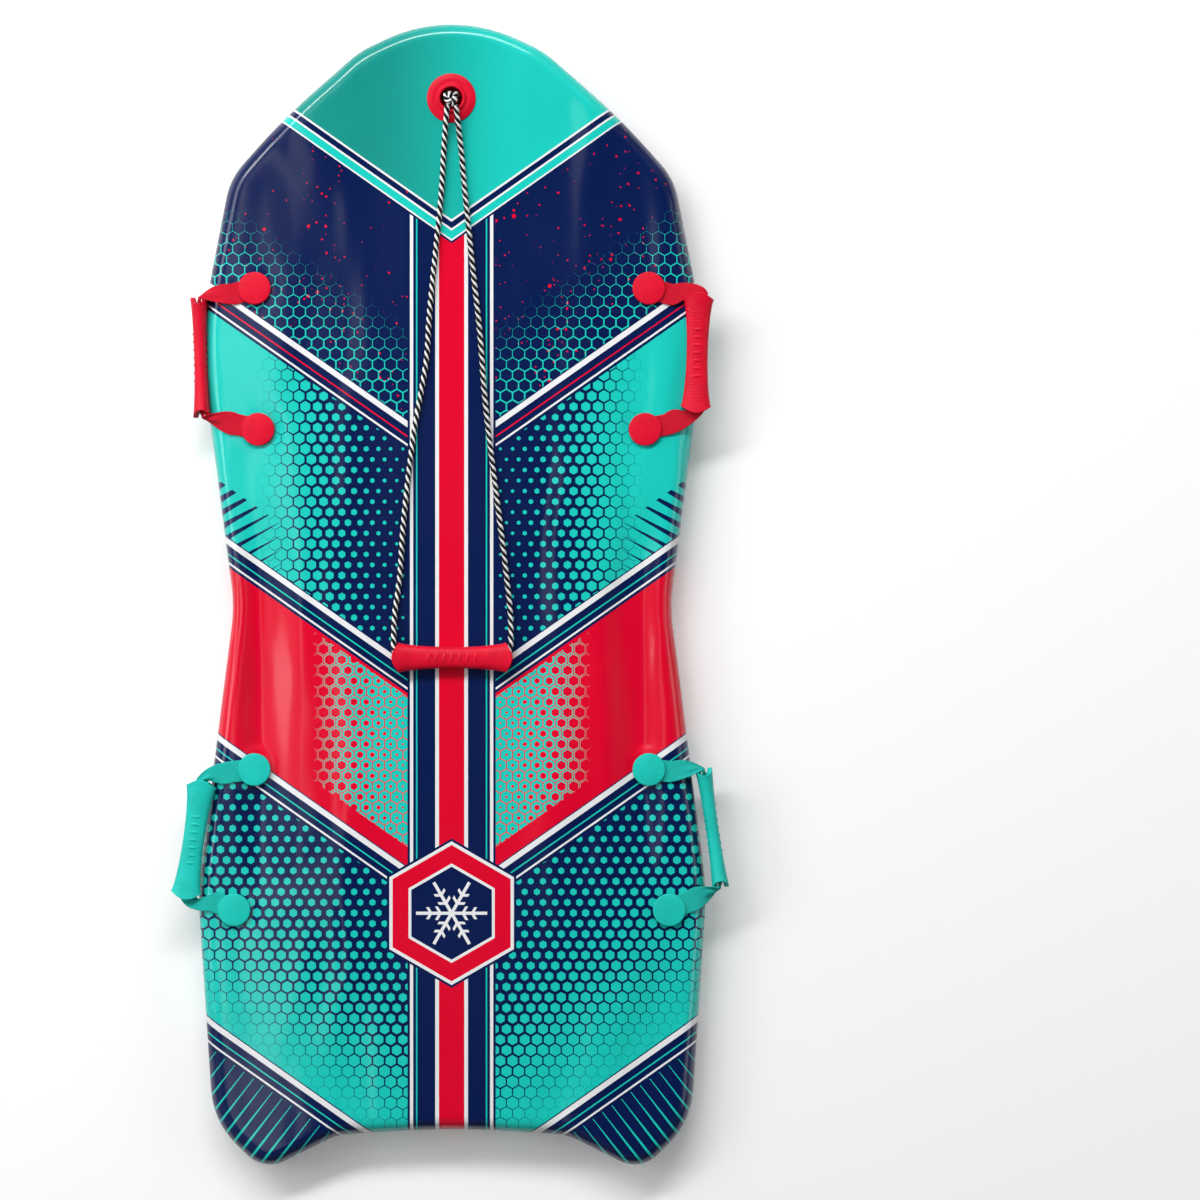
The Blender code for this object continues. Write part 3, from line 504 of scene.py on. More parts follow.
@dataclass(frozen=True)
class DeckPrint:
    """Glossy film over the deck, printed with open vees, honeycomb fades and a hexagon badge.

    Its sizes are millimetres, and a vee's place is where it crosses the middle of the deck.
    """

    flute: Flute
    steepness: float = 0.70
    cap_edge: float = 400.0
    # Span across the nose cap, in millimetres, over which the painted shade fades from full to none.
    cap_shade_span: Spot = (-85.0, 85.0)
    cap_lines: Lines = (
        (-23.0, -20.5, NAVY),
        (-20.5, -18.5, WHITE),
        (-18.5, -9.5, TEAL),
        (-9.5, -7.0, WHITE),
        (-7.0, -3.0, NAVY),
        (0.0, 2.6, WHITE),
    )
    front_comb: Spot = (150.0, 262.0)
    front_zone: Spot = (-118.0, 128.0)
    waist_zone: Spot = (-335.0, -118.0)
    waist_comb: Spot = (-300.0, -140.0)
    tail_fade: Spot = (-660.0, -345.0)
    corner_edge: float = -640.0
    vee_tops: tuple[float, ...] = (156.0, -104.0, -321.0, -631.0)
    cell: float = 13.0
    comb_wall: float = 0.55
    rung_zone: Spot = (-118.0, -50.0)
    rung_pitch: float = 15.0
    rung_start: float = 180.0
    ray_pitch: float = 12.5
    shaft_half: float = 47.0
    stripe_half: float = 13.5
    stripe_edge: float = 17.5
    badge_place: float = -338.0
    badge_rings: tuple[tuple[float, Color], ...] = (
        (69.0, NAVY),
        (66.5, WHITE),
        (63.0, RED),
        (46.0, WHITE),
        (43.0, NAVY),
    )
    flake_reach: float = 38.0
    flake_arm: float = 1.7
    flake_twigs: tuple[Spot, ...] = ((12.0, 9.0), (22.0, 8.0))
    roughness: Spot = (0.16, 0.22)
    ripple_height: float = 0.0034
    grain_height: float = 0.00004

    def honeycomb(self, x: Field, y: Field) -> Field:
        """How deep inside its hexagon a place lies, in millimetres from the nearest side.

        Args:
            x: Places across the board.
            y: Places along it.

        Returns:
            The distance from the nearest side.
        """
        tall = self.cell * ROOT_3
        depth = None
        for shift in (0.0, 0.5):
            across = abs((x + shift * self.cell).wrapped(self.cell))
            up = abs((y + shift * tall).wrapped(tall))
            slant = across * 0.5 + up * (ROOT_3 / 2)
            inside = self.cell / 2 - across.larger(slant)
            depth = inside if depth is None else depth.larger(inside)
        return depth

    def specks(self, surface: Surface) -> Field:
        """Small spattered dots of unlike sizes, in loose clusters.

        Args:
            surface: The film's material.

        Returns:
            1 on a dot.
        """
        crowd = surface.grain(13.0, 2.0).ramp(0.35, 0.75, -0.06, 0.24)
        ragged = surface.grain(620.0, 2.0) * 0.16 - 0.08
        dots = None
        for cells, rarity, size in ((105.0, 0.66, 0.46), (210.0, 0.70, 0.60)):
            near = Field(surface.tree, surface.cells(cells)) + ragged
            node = surface.tree.nodes.new("ShaderNodeSeparateColor")
            wire(surface.cells(cells, "Color"), node.inputs[0])
            chance = Field(surface.tree, node.outputs[0]) + crowd
            spot = near.below((chance - rarity) * size) * chance.above(rarity + 0.05)
            dots = spot if dots is None else dots.larger(spot)
        return dots

    def snowflake(self, x: Field, y: Field) -> Field:
        """A plain six-armed snowflake, for the middle of the badge.

        Args:
            x: Places across, from its middle.
            y: Places along, from its middle.

        Returns:
            1 on the flake.
        """
        reach = x.hypot(y)
        turn = x.math("ARCTAN2", y, x).wrapped(math.pi / 3)
        along = reach * turn.math("COSINE", turn)
        aside = abs(reach * turn.sine())
        flake = aside.below(self.flake_arm) * along.below(self.flake_reach + 1.0)
        for root, length in self.flake_twigs:
            lean = abs(aside * 0.5 - (along - root) * (ROOT_3 / 2)).below(1.4)
            flake = flake.larger(lean * aside.below(length * 0.8))
        return flake

    def bands(self, surface: Surface, x: Field, y: Field) -> Socket:
        """The vees across the deck, from the nose to the tail.

        Args:
            surface: The film's material.
            x: Places across the board.
            y: Places along it.

        Returns:
            The painted colour.
        """
        out = abs(x)
        vee = y - out * self.steepness
        depth = self.honeycomb(x, y)
        speckled = vee.above(self.front_comb[0])
        colour = surface.coat(NAVY, RED, self.specks(surface) * speckled)
        walls = depth.below(vee.ramp(160.0, 262.0, 0.75, 0.0))
        colour = surface.coat(colour, TEAL, vee.within(*self.front_comb) * walls)
        cells = depth.above(out.ramp(30.0, 215.0, 5.2, 0.0))
        colour = surface.coat(colour, TEAL, vee.within(*self.front_zone) * cells)
        colour = surface.coat(colour, RED, vee.within(*self.waist_zone))
        cells = depth.below(out.ramp(36.0, 175.0, 5.6, 0.0)) * depth.above(self.comb_wall)
        colour = surface.coat(colour, TEAL, vee.within(*self.waist_comb) * cells)
        cells = depth.above(vee.ramp(*self.tail_fade, 0.0, 3.4))
        colour = surface.coat(colour, TEAL, vee.below(self.waist_zone[0]) * cells)
        rungs = abs((y + out * 0.55).wrapped(self.rung_pitch)).below((out - self.rung_start) * 0.055)
        colour = surface.coat(colour, NAVY, rungs * vee.within(*self.rung_zone))
        corner = vee.below(self.corner_edge)
        colour = surface.coat(colour, NAVY, corner)
        rays = abs((y * 0.62 + out * 0.80).wrapped(self.ray_pitch))
        rays = rays.below(vee.ramp(-760.0, self.corner_edge, 1.4, 0.25))
        colour = surface.coat(colour, TEAL, rays * corner)
        for top in self.vee_tops:
            fine = TEAL if top < 0 else RED
            lines = ((-32.0, 0.0, NAVY), (-8.5, -1.5, WHITE), (-19.0, -17.2, fine), (-28.5, -26.0, WHITE))
            colour = surface.striped(colour, vee - top, lines)
        cap = vee.above(self.cap_edge)
        colour = surface.coat(colour, TEAL, cap)
        # Painted shade: the nose cap darkens towards its left side, as if lit from the right.
        colour = surface.coat(colour, SHADED_TEAL, x.ramp(*self.cap_shade_span, 1.0, 0.0) * cap)
        return surface.striped(colour, vee - self.cap_edge, self.cap_lines)

    def centre(self, surface: Surface, under: Socket, x: Field, y: Field) -> Socket:
        """The stripe down the middle, with its margins.

        Args:
            surface: The film's material.
            under: What it is painted on.
            x: Places across the board.
            y: Places along it.

        Returns:
            The painted colour.
        """
        out = abs(x)
        shaft = (y - out * self.steepness).below(self.cap_edge + self.cap_lines[0][0])
        lines = (
            (-self.shaft_half, self.shaft_half, NAVY),
            (41.0, 44.5, WHITE),
            (36.5, 38.0, TEAL),
            (-self.stripe_edge, self.stripe_edge, WHITE),
            (-self.stripe_half, self.stripe_half, RED),
        )
        return surface.striped(under, out, lines, shaft)

    def badge(self, surface: Surface, under: Socket, x: Field, y: Field) -> Socket:
        """A plain hexagon round a snowflake, behind the middle.

        Args:
            surface: The film's material.
            under: What it is painted on.
            x: Places across the board.
            y: Places along it.

        Returns:
            The painted colour.
        """
        aft = y - self.badge_place
        out = abs(x)
        reach = out.larger(out * 0.5 + abs(aft) * (ROOT_3 / 2))
        colour = under
        for radius, paint in self.badge_rings:
            colour = surface.coat(colour, paint, reach.below(radius))
        return surface.coat(colour, WHITE, self.snowflake(x, aft) * reach.below(self.flake_reach))

    def material(self) -> Material:
        """Build the film's material."""
        surface = Surface("deck_print")
        x, y, _ = surface.split("Object", 1 / MM)
        colour = self.bands(surface, x, y)
        colour = self.centre(surface, colour, x, y)
        colour = self.badge(surface, colour, x, y)
        surface.lead(colour, "Base Color")
        surface.lead(surface.grain(9.0).ramp(0.3, 0.7, *self.roughness).socket, "Roughness")
        surface.put("Specular IOR Level", 0.35)
        surface.put("Coat Weight", 0.30)
        surface.put("Coat Roughness", 0.16)
        metres_x, metres_y, _ = surface.split("Object", 1.0)
        hollow = 1.0 - self.flute.field(metres_x, metres_y)
        flank = abs(metres_x).ramp(0.055, 0.125, 0.10, 1.0)
        ripple = surface.grain(15.0, 1.0, (1.0, 0.34, 1.0)).ramp(0.34, 0.66) * flank
        grain = surface.grain(420.0, 1.0)
        surface.relief(
            [(hollow, self.flute.shaded_depth), (ripple, self.ripple_height), (grain, self.grain_height)]
        )
        return surface.material


@dataclass(frozen=True)
class RunningPrint:
    """Slick sheet of the underside: fine lengthwise pinstripes over soft clouds of colour."""

    pitch: float = 5.9
    blue: Color = (0.010, 0.035, 0.290)
    purple: Color = (0.140, 0.020, 0.220)
    coral: Color = (0.640, 0.105, 0.090)
    pale: Color = (0.420, 0.410, 0.600)

    def clouds(self, surface: Surface, shift: float) -> Socket:
        """Soft colours that drift slantwise along the board.

        Args:
            surface: The sheet's material.
            shift: How far they have drifted.

        Returns:
            Their colour.
        """
        x, y, _ = surface.split("Object", 1.0)
        drift = surface.grain(2.3, 1.5, (1.6, 0.9, 1.0))
        wave = (y * 9.5 + x * 5.0 + drift * 7.0 + shift).sine()
        colour = surface.coat(self.blue, self.purple, wave.ramp(-0.45, 0.25))
        colour = surface.coat(colour, self.coral, wave.ramp(0.20, 0.85))
        haze = surface.grain(1.7, 1.0, (1.0, 1.3, 1.0)).ramp(0.50, 0.72)
        return surface.coat(colour, self.pale, haze * 0.75)

    def material(self) -> Material:
        """Build the running sheet's material."""
        surface = Surface("running_print")
        x, _, _ = surface.split("Object", 1 / MM)
        stripes = abs(x.wrapped(self.pitch)).ramp(self.pitch * 0.2, self.pitch * 0.3)
        dark, light = self.clouds(surface, 0.0), self.clouds(surface, 0.9)
        lines = surface.coat(dark, self.pale, stripes * 0.22)
        colour = surface.coat(lines, light, stripes * 0.55)
        surface.lead(colour, "Base Color")
        surface.lead(surface.grain(12.0).ramp(0.3, 0.7, 0.10, 0.17).socket, "Roughness")
        surface.put("Coat Weight", 0.5)
        surface.put("Coat Roughness", 0.04)
        surface.relief([(surface.grain(8.0, 1.0), 0.002), (surface.grain(600.0, 1.0), 0.00002)])
        return surface.material


@dataclass(frozen=True)
class Moulding:
    """Moulded rubbery plastic with a fine stipple."""

    name: str
    tint: Color
    roughness: float = 0.46

    def material(self) -> Material:
        """Build the moulding's material."""
        surface = Surface(self.name)
        shade = surface.grain(38.0, 3.0).ramp(0.25, 0.75)
        deep = shaded(self.tint, 0.86)
        surface.lead(surface.coat(deep, self.tint, shade), "Base Color")
        spread = surface.grain(160.0, 2.0).ramp(0.3, 0.7, self.roughness - 0.05, self.roughness + 0.06)
        surface.lead(spread.socket, "Roughness")
        surface.put("Specular IOR Level", 0.22)
        stipple = Field(surface.tree, surface.cells(1500.0))
        surface.relief([(surface.grain(70.0, 1.0), 0.0003), (stipple, 0.00005)])
        return surface.material


@dataclass(frozen=True)
class Webbing:
    """Woven strap: paired warp cords in a herringbone, with plain selvedges."""

    name: str
    tint: Color
    cord_pitch: float = 1.5
    pick_pitch: float = 1.25

    def material(self) -> Material:
        """Build the webbing's material from its surface coordinates, which are metres."""
        surface = Surface(self.name)
        along, across, _ = surface.split("UV", 1 / MM)
        column = across / self.cord_pitch
        flip = column.math("FLOORED_MODULO", column.math("FLOOR", column), 2.0) * 2.0 - 1.0
        rib = abs(across.wrapped(self.cord_pitch)) / (self.cord_pitch / 2)
        lean = (along + across * flip * 0.9) / self.pick_pitch
        pick = (lean * (math.tau)).sine() * 0.5 + 0.5
        thread = (1.0 - rib * rib) * (pick * 0.65 + 0.35)
        worn = surface.grain(60.0, 3.0, (1, 1, 1), "UV").ramp(0.3, 0.75, 0.0, 0.35)
        dark = shaded(self.tint, 0.42)
        pale = tuple(min(1.0, 1.12 * part + 0.012) for part in self.tint)
        colour = surface.coat(dark, self.tint, thread.ramp(0.0, 0.62))
        surface.lead(surface.coat(colour, pale, worn * thread), "Base Color")
        surface.put("Roughness", 0.72)
        surface.put("Specular IOR Level", 0.20)
        surface.put("Sheen Weight", 0.06)
        surface.put("Sheen Roughness", 0.5)
        surface.relief([(thread, 0.00022), (surface.grain(900.0, 2.0, (1, 1, 1), "UV"), 0.00005)])
        return surface.material


@dataclass(frozen=True)
class Yarn:
    """Twisted rope strand of fine filaments."""

    name: str
    tint: Color
    fine_pitch: float = 0.55

    def material(self) -> Material:
        """Build the strand's material from its surface coordinates, which are metres."""
        surface = Surface(self.name)
        along, across, _ = surface.split("UV", 1 / MM)
        lines = ((along * 0.75 + across) * (math.tau / self.fine_pitch)).sine() * 0.5 + 0.5
        dark = shaded(self.tint, 0.88)
        pale = shaded(self.tint, 1.04)
        fuzz = surface.grain(700.0, 3.0, (0.4, 1, 1), "UV")
        surface.lead(surface.coat(dark, pale, (lines * 0.6 + fuzz * 0.4).ramp(0.1, 0.6)), "Base Color")
        surface.put("Roughness", 0.70)
        surface.put("Specular IOR Level", 0.20)
        surface.relief([(lines, 0.00005), (fuzz, 0.00006)])
        return surface.material


@dataclass(frozen=True)
class Foam:
    """Closed-cell foam of the core."""

    tint: Color = (0.80, 0.81, 0.82)

    def material(self) -> Material:
        """Build the foam's material."""
        surface = Surface("foam")
        bead = Field(surface.tree, surface.cells(260.0))
        grey = shaded(self.tint, 0.82)
        surface.lead(surface.coat(self.tint, grey, bead.ramp(0.35, 0.75)), "Base Color")
        surface.put("Roughness", 0.85)
        surface.relief([(bead, 0.0005)])
        return surface.material


@dataclass
class Finishes:
    """Every material of the sled, made once."""

    deck: Material
    running: Material
    foam: Material
    moulding: dict[str, Material]
    webbing: dict[str, Material]
    strands: list[Material]

    @classmethod
    def make(cls, flute: Flute) -> "Finishes":
        """Build them all, the deck's film shaded for its flutes.

        Args:
            flute: The hollow of the flanks.

        Returns:
            The finishes.
        """
        tints = {"red": RED, "teal": TEAL}
        yarns = (Yarn("white_strand", WHITE_YARN), Yarn("black_strand", BLACK))
        return cls(
            deck=DeckPrint(flute).material(),
            running=RunningPrint().material(),
            foam=Foam().material(),
            moulding={key: Moulding(f"{key}_moulding", tint).material() for key, tint in tints.items()},
            webbing={key: Webbing(f"{key}_webbing", tint).material() for key, tint in tints.items()},
            strands=[yarn.material() for yarn in yarns],
        )


@dataclass
class Board:
    """The foam board: its outline, its section, and the film and sheet that cover it."""

    length: float = 1.220
    half_width: float = 0.2754
    nose_apex: float = 0.0166
    front_corners: tuple = (
        (0.1775, 0.028, 0.112),
        (0.094, 0.100, 0.700),
        (0.0373, 0.163, 0.074),
        (0.004, 0.331, 0.437),
    )
    waist_corner: tuple = (0.0417, -0.010, 0.182)
    rear_corners: tuple = (
        (0.0027, 0.295, 0.302),
        (0.0191, 0.047, 0.089),
        (0.0737, -0.0058, 0.035),
        (0.153, 0.034, 0.061),
    )
    notch_depth: float = 0.041
    notch_radius: float = 0.800
    deck_level: float = 0.050
    crown_fall: float = 0.007
    flat_half: float = 0.120
    nose_rise: float = 0.020
    rocker_length: float = 0.250
    rail_radius: float = 0.016
    rail_foot: float = 0.010
    lip_inset: float = 0.0022
    film: float = 0.0010
    sheet: float = 0.0015
    sheet_inset: float = 0.0026
    sheet_wall: float = 0.0009
    seat_radius: float = 0.018
    seat_sink: float = 0.0006
    seat_blend: float = 0.012
    recess_radius: float = 0.0188
    recess_wall: float = 0.0045
    recess_depth: float = 0.0042
    post_hole: float = 0.0062
    plug_back: float = 0.079
    plug_seat: float = 0.028
    plug_blend: float = 0.014
    plug_hole: float = 0.0143
    channels: tuple = ((0.047, 0.0165, -0.281, 0.135), (0.128, 0.0250, -0.271, 0.345))
    channel_depth: float = 0.004
    flute: Flute = Flute()
    flute_fade: float = 0.016
    wave_depth: float = 0.0012
    wave_fade: float = 0.030
    grid: float = 0.0058
    chord_error: float = 0.00006
    hole_sides: int = 24
    plug_hole_sides: int = 32
    plug_rings: tuple = (0.020, 0.024, 0.028, 0.0315, 0.035, 0.0385, 0.042)
    plug_clear: float = 0.0445
    ring_spacing: float = 0.0007
    plug_spacing: float = 0.0009
    film_ring: float = 0.0105
    sheet_rings: tuple = (0.0105, 0.0165)
    sheet_clear: float = 0.0262
    sheet_border: float = 0.0045
    sheet_bulge: float = 0.0008
    seat_steps: int = 6
    recess_steps: int = 5
    rail_steps: int = 10
    wall_steps: int = 6
    channel_steps: int = 60

    def __post_init__(self) -> None:
        """Find the outline, the buttons' places and the plug's tilt."""
        self.nose = self.length / 2
        self.tail = -self.length / 2
        self.rocker_start = self.nose - self.rocker_length
        self.outline = self.spaced(self.rounded_outline())
        self.buttons = {}
        for handle in HANDLES:
            for end in ("fore", "aft"):
                self.buttons[f"{handle}_{end}"] = middle_of(f"{handle}_{end}_button").xy
        self.plug = Vector((0.0, self.nose - self.plug_back))
        run = self.plug.y - self.rocker_start
        self.plug_slope = 2 * self.nose_rise * run / self.rocker_length**2
        tilt = math.atan(self.plug_slope)
        self.plug_axis = Vector((0, -math.sin(tilt), math.cos(tilt)))
        self.plug_depth = self.deck_level * math.cos(tilt)
        self.plug_below = self.plug - self.plug_axis.xy * self.plug_depth

    def rounded_outline(self) -> Row:
        """The board's edge from above, counter-clockwise from the nose, each corner rounded."""
        nose_x = self.half_width - self.front_corners[0][0]
        nose_fall = math.atan2(self.nose_apex + self.front_corners[0][1], nose_x)
        nose_radius = self.nose_apex / (1 / math.cos(nose_fall) - 1)
        side = [(into, self.nose - back, radius) for into, back, radius in self.front_corners]
        side.append(self.waist_corner)
        side += [(into, self.tail + ahead, radius) for into, ahead, radius in self.rear_corners]
        side = [(self.half_width - into, y, radius) for into, y, radius in side]
        apex = [(0.0, self.nose + self.nose_apex, nose_radius)]
        notch = [(0.0, self.tail + self.notch_depth, self.notch_radius)]
        return self.rounded(apex + [(-x, y, radius) for x, y, radius in side] + notch + side[::-1])

    def rounded(self, corners: Sequence[Place]) -> Row:
        """Round each corner of a closed polygon by its own radius.

        Args:
            corners: Place and radius of each corner.

        Returns:
            The rounded ring.
        """
        points, arms, turns, reaches = [], [], [], []
        for index, (x, y, radius) in enumerate(corners):
            corner = Vector((x, y))
            before = Vector(corners[index - 1][:2]) - corner
            after = Vector(corners[(index + 1) % len(corners)][:2]) - corner
            arms.append((before, after))
            turns.append(math.pi - before.angle(after))
            reaches.append(radius * math.tan(turns[-1] / 2))
        for index, (x, y, _) in enumerate(corners):
            corner, turn = Vector((x, y)), turns[index]
            before, after = arms[index]
            following = (index + 1) % len(corners)
            fit_before = 0.98 * before.length / (reaches[index] + reaches[index - 1])
            fit_after = 0.98 * after.length / (reaches[index] + reaches[following])
            tangent = reaches[index] * min(1, fit_before, fit_after)
            radius = tangent / math.tan(turn / 2)
            middle = (before.normalized() + after.normalized()).normalized()
            centre = corner + middle * (radius / math.cos(turn / 2))
            arm = corner + before.normalized() * tangent - centre
            sweep = math.copysign(turn, before.cross(after) * -1)
            steps = max(1, math.ceil(turn / (2 * math.acos(1 - self.chord_error / radius))))
            points += [centre + Matrix.Rotation(sweep * step / steps, 2) @ arm for step in range(steps + 1)]
        return points

    def spaced(self, ring: Row) -> Row:
        """Divide the long sides of a ring."""
        points = []
        for index, point in enumerate(ring):
            following = ring[(index + 1) % len(ring)]
            count = max(1, round((following - point).length / (1.3 * self.grid)))
            points += [point.lerp(following, step / count) for step in range(count)]
        return points

    def inset(self, distance: float) -> Row:
        """The outline moved inwards, each point along its mitre."""
        ring, moved = self.outline, []
        for index, point in enumerate(ring):
            arriving = (point - ring[index - 1]).normalized()
            leaving = (ring[(index + 1) % len(ring)] - point).normalized()
            inward = Vector((-arriving.y - leaving.y, arriving.x + leaving.x)).normalized()
            moved.append(point + inward * (distance / inward.dot(Vector((-arriving.y, arriving.x)))))
        return moved

    def edge_distance(self, x: Array, y: Array) -> Array:
        """Distance of places from the board's edge, negative outside it.

        Args:
            x: Places across the board.
            y: Places along it.

        Returns:
            The distances.
        """
        ring = np.array(self.outline)
        following = np.roll(ring, -1, axis=0)
        sides = following - ring
        away_x, away_y = x[:, None] - ring[:, 0], y[:, None] - ring[:, 1]
        share = np.clip((away_x * sides[:, 0] + away_y * sides[:, 1]) / (sides**2).sum(1), 0, 1)
        nearest = np.hypot(away_x - share * sides[:, 0], away_y - share * sides[:, 1]).min(1)
        crossing = (ring[:, 1] > y[:, None]) != (following[:, 1] > y[:, None])
        with np.errstate(divide="ignore", invalid="ignore"):
            meets = ring[:, 0] + (y[:, None] - ring[:, 1]) / sides[:, 1] * sides[:, 0]
        inside = (crossing & (x[:, None] < meets)).sum(1) % 2 == 1
        return np.where(inside, nearest, -nearest)

    def rocker(self, y: Array | float) -> Array | float:
        """How far the nose lifts the board."""
        return self.nose_rise * np.maximum((y - self.rocker_start) / self.rocker_length, 0) ** 2

    def crowned(self, x: Array | float, y: Array | float) -> Array | float:
        """Deck height before anything is pressed into it."""
        beyond = np.maximum(np.abs(x) - self.flat_half, 0) / (self.half_width - self.flat_half)
        return self.deck_level + self.rocker(y) - self.crown_fall * beyond**2

    def waves(self, x: Array, y: Array) -> Array:
        """Hollows where the film has sunk on the foam, long and narrow, and deeper on the flanks."""
        values = [noise.noise(Vector((15.0 * a * (1.0 - 0.4 * b), 5.5 * b, 3.1))) for a, b in zip(x, y)]
        strength = 0.25 + 0.75 * eased((np.abs(x) - 0.045) / 0.060)
        return self.wave_depth * strength * (0.5 + 0.5 * np.clip(np.array(values) * 1.8, -1, 1))

    def deck_height(self, x: Array, y: Array) -> Array:
        """Height of the film, with flat seats under the buttons and the plug.

        Args:
            x: Places across the board.
            y: Places along it.

        Returns:
            The heights.
        """
        inside = self.edge_distance(x, y) - self.rail_radius
        height = self.crowned(x, y) - self.flute.sunk(x, y) * eased(inside / self.flute_fade)
        height -= self.waves(x, y) * eased(inside / self.wave_fade)
        for button in self.buttons.values():
            reach = np.hypot(x - button.x, y - button.y)
            seat = self.crowned(*button) - self.seat_sink
            height += (seat - height) * pressed(reach, self.seat_radius, self.seat_blend)
        return self.plug_pressed(x, y, height)

    def seat_level(self, name: str) -> float:
        """Height of the flat seat under a button."""
        return float(self.crowned(*self.buttons[name])) - self.seat_sink

    def plug_pressed(self, x: Array | float, y: Array | float, height: Array) -> Array:
        """A deck height with the plug's slanting seat pressed into it."""
        reach = np.hypot(x - self.plug.x, y - self.plug.y)
        tangent = self.crowned(*self.plug) + self.plug_slope * (y - self.plug.y)
        return height + (tangent - height) * pressed(reach, self.plug_seat, self.plug_blend)

    def deck_at(self, x: float, y: float) -> float:
        """Height of the deck at one place, without its flutes and waves."""
        return float(self.plug_pressed(x, y, self.crowned(x, y)))

    def floor_height(self, x: Array, y: Array) -> Array:
        """Height of the running face, with its channels, recesses and plug seat.

        Args:
            x: Places across the board.
            y: Places along it.

        Returns:
            The heights.
        """
        share = np.zeros_like(x)
        for side, half, rear, front in self.channels:
            swell = np.sin(np.pi * np.clip((y - rear) / (front - rear), 0, 1)) ** 0.6
            across = 1 - np.abs(np.abs(x) - side) / np.maximum(half * swell, 1e-6)
            share = np.maximum(share, eased(across * 0.5 + 0.04) * 2 * swell * (across > 0))
        height = self.rocker(y) + self.channel_depth * np.minimum(share, 1)
        for button in self.buttons.values():
            reach = np.hypot(x - button.x, y - button.y)
            recess = self.rocker(button.y) + self.recess_depth
            height += (recess - height) * pressed(reach, self.recess_radius, self.recess_wall)
        reach = np.hypot(x - self.plug_below.x, y - self.plug_below.y)
        tangent = self.rocker(self.plug_below.y) + self.plug_slope * (y - self.plug_below.y)
        return height + (tangent - height) * pressed(reach, self.plug_seat, self.plug_blend)

    def plan(
        self, into: float, plug: Vector, radii: Sequence[float], lines: Rows = ()
    ) -> "Plan":
        """A fine flat triangulation of the board.

        Args:
            into: How far inside the edge its border lies.
            plug: Where the plug's hole is.
            radii: Radii of the rings of points round each button.
            lines: Open chains of points that must be edges.

        Returns:
            The plan, with its border and its holes.
        """
        plan = Plan(self.inset(into))
        buttons = self.buttons.values()
        for button in buttons:
            plan.add_hole(button, self.post_hole, self.hole_sides)
        plan.add_hole(plug, self.plug_hole, self.plug_hole_sides)
        for button in buttons:
            for radius in radii:
                plan.inputs += circle(button, radius, max(20, round(radius / self.ring_spacing)))
        for radius in self.plug_rings:
            plan.inputs += circle(plug, radius, round(radius / self.plug_spacing))
        for line in lines:
            plan.chain(line)
        rows = np.arange(self.tail, self.nose, self.grid * 0.87)
        columns = np.arange(-self.half_width, self.half_width, self.grid)
        x, y = np.meshgrid(columns, rows)
        x = (x + (np.arange(len(rows)) % 2)[:, None] * self.grid / 2).ravel()
        y = y.ravel()
        free = self.edge_distance(x, y) > into + 0.45 * self.grid
        clear = max(radii) + 0.4 * self.grid
        for button in buttons:
            free &= np.hypot(x - button.x, y - button.y) > clear
        free &= np.hypot(x - plug.x, y - plug.y) > self.plug_clear
        for line in lines:
            for point in line:
                free &= np.hypot(x - point.x, y - point.y) > 0.35 * self.grid
        plan.inputs += [Vector(pair) for pair in zip(x[free], y[free])]
        return plan

    def deck_film(self, finishes: Finishes) -> Piece:
        """The printed film over the deck and round the rails."""
        steps = self.seat_steps
        radii = [self.seat_radius + self.seat_blend * step / steps for step in range(-1, steps + 1)]
        plan = self.plan(self.rail_radius, self.plug, [*radii, self.film_ring]).solve()
        height = self.deck_height(plan.x, plan.y)
        rail = self.rail_rows(0.0, plan, height) + self.rail_rows(self.film, plan, height)[::-1]
        return plan.layer(height, height - self.film, rail).piece("deck_film", [finishes.deck], crease=50)

    def rail_rows(self, offset: float, plan: "Plan", height: Array) -> Rows:
        """Rows down the rail, this far inside the film's outer face.

        Args:
            offset: Depth inside the outer face.
            plan: The deck's triangulation.
            height: Its heights.

        Returns:
            The rows, from the deck down.
        """
        rows = []
        border = height[plan.border] - self.crowned(plan.x[plan.border], plan.y[plan.border])
        for step in range(1, self.rail_steps + 1):
            lean = math.pi / 2 * step / self.rail_steps
            into = self.rail_radius - (self.rail_radius - offset) * math.sin(lean)
            drop = self.rail_radius - (self.rail_radius - offset) * math.cos(lean)
            ring = zip(self.inset(into), border)
            rows.append([Vector((*p, float(self.crowned(*p)) + sunk - drop)) for p, sunk in ring])
        low = self.sheet + GAP
        for step in range(self.wall_steps + 1):
            lean = math.pi / 2 * step / self.wall_steps
            into = offset + self.lip_inset * (1 - math.cos(lean))
            up = self.rail_foot - (self.rail_foot - low) * math.sin(lean)
            rows.append(self.lifted(into, up))
        return rows

    def lifted(self, into: float, up: float) -> Row:
        """The outline moved inwards, at a height over the underside."""
        return [Vector((*spot, float(self.rocker(spot.y)) + up)) for spot in self.inset(into)]

    def channel_lines(self) -> Rows:
        """Edges and keels of the running channels.

        Returns:
            Open chains of points.
        """
        lines = []
        steps = self.channel_steps
        for side, half, rear, front in self.channels:
            for hand in (-1, 1):
                for lane in (-1, 0, 1):
                    line = []
                    for step in range(1, steps):
                        y = rear + (front - rear) * step / steps
                        spread = half * math.sin(math.pi * step / steps) ** 0.6
                        line.append(Vector((hand * side + lane * spread, y)))
                    lines.append(line)
        return lines

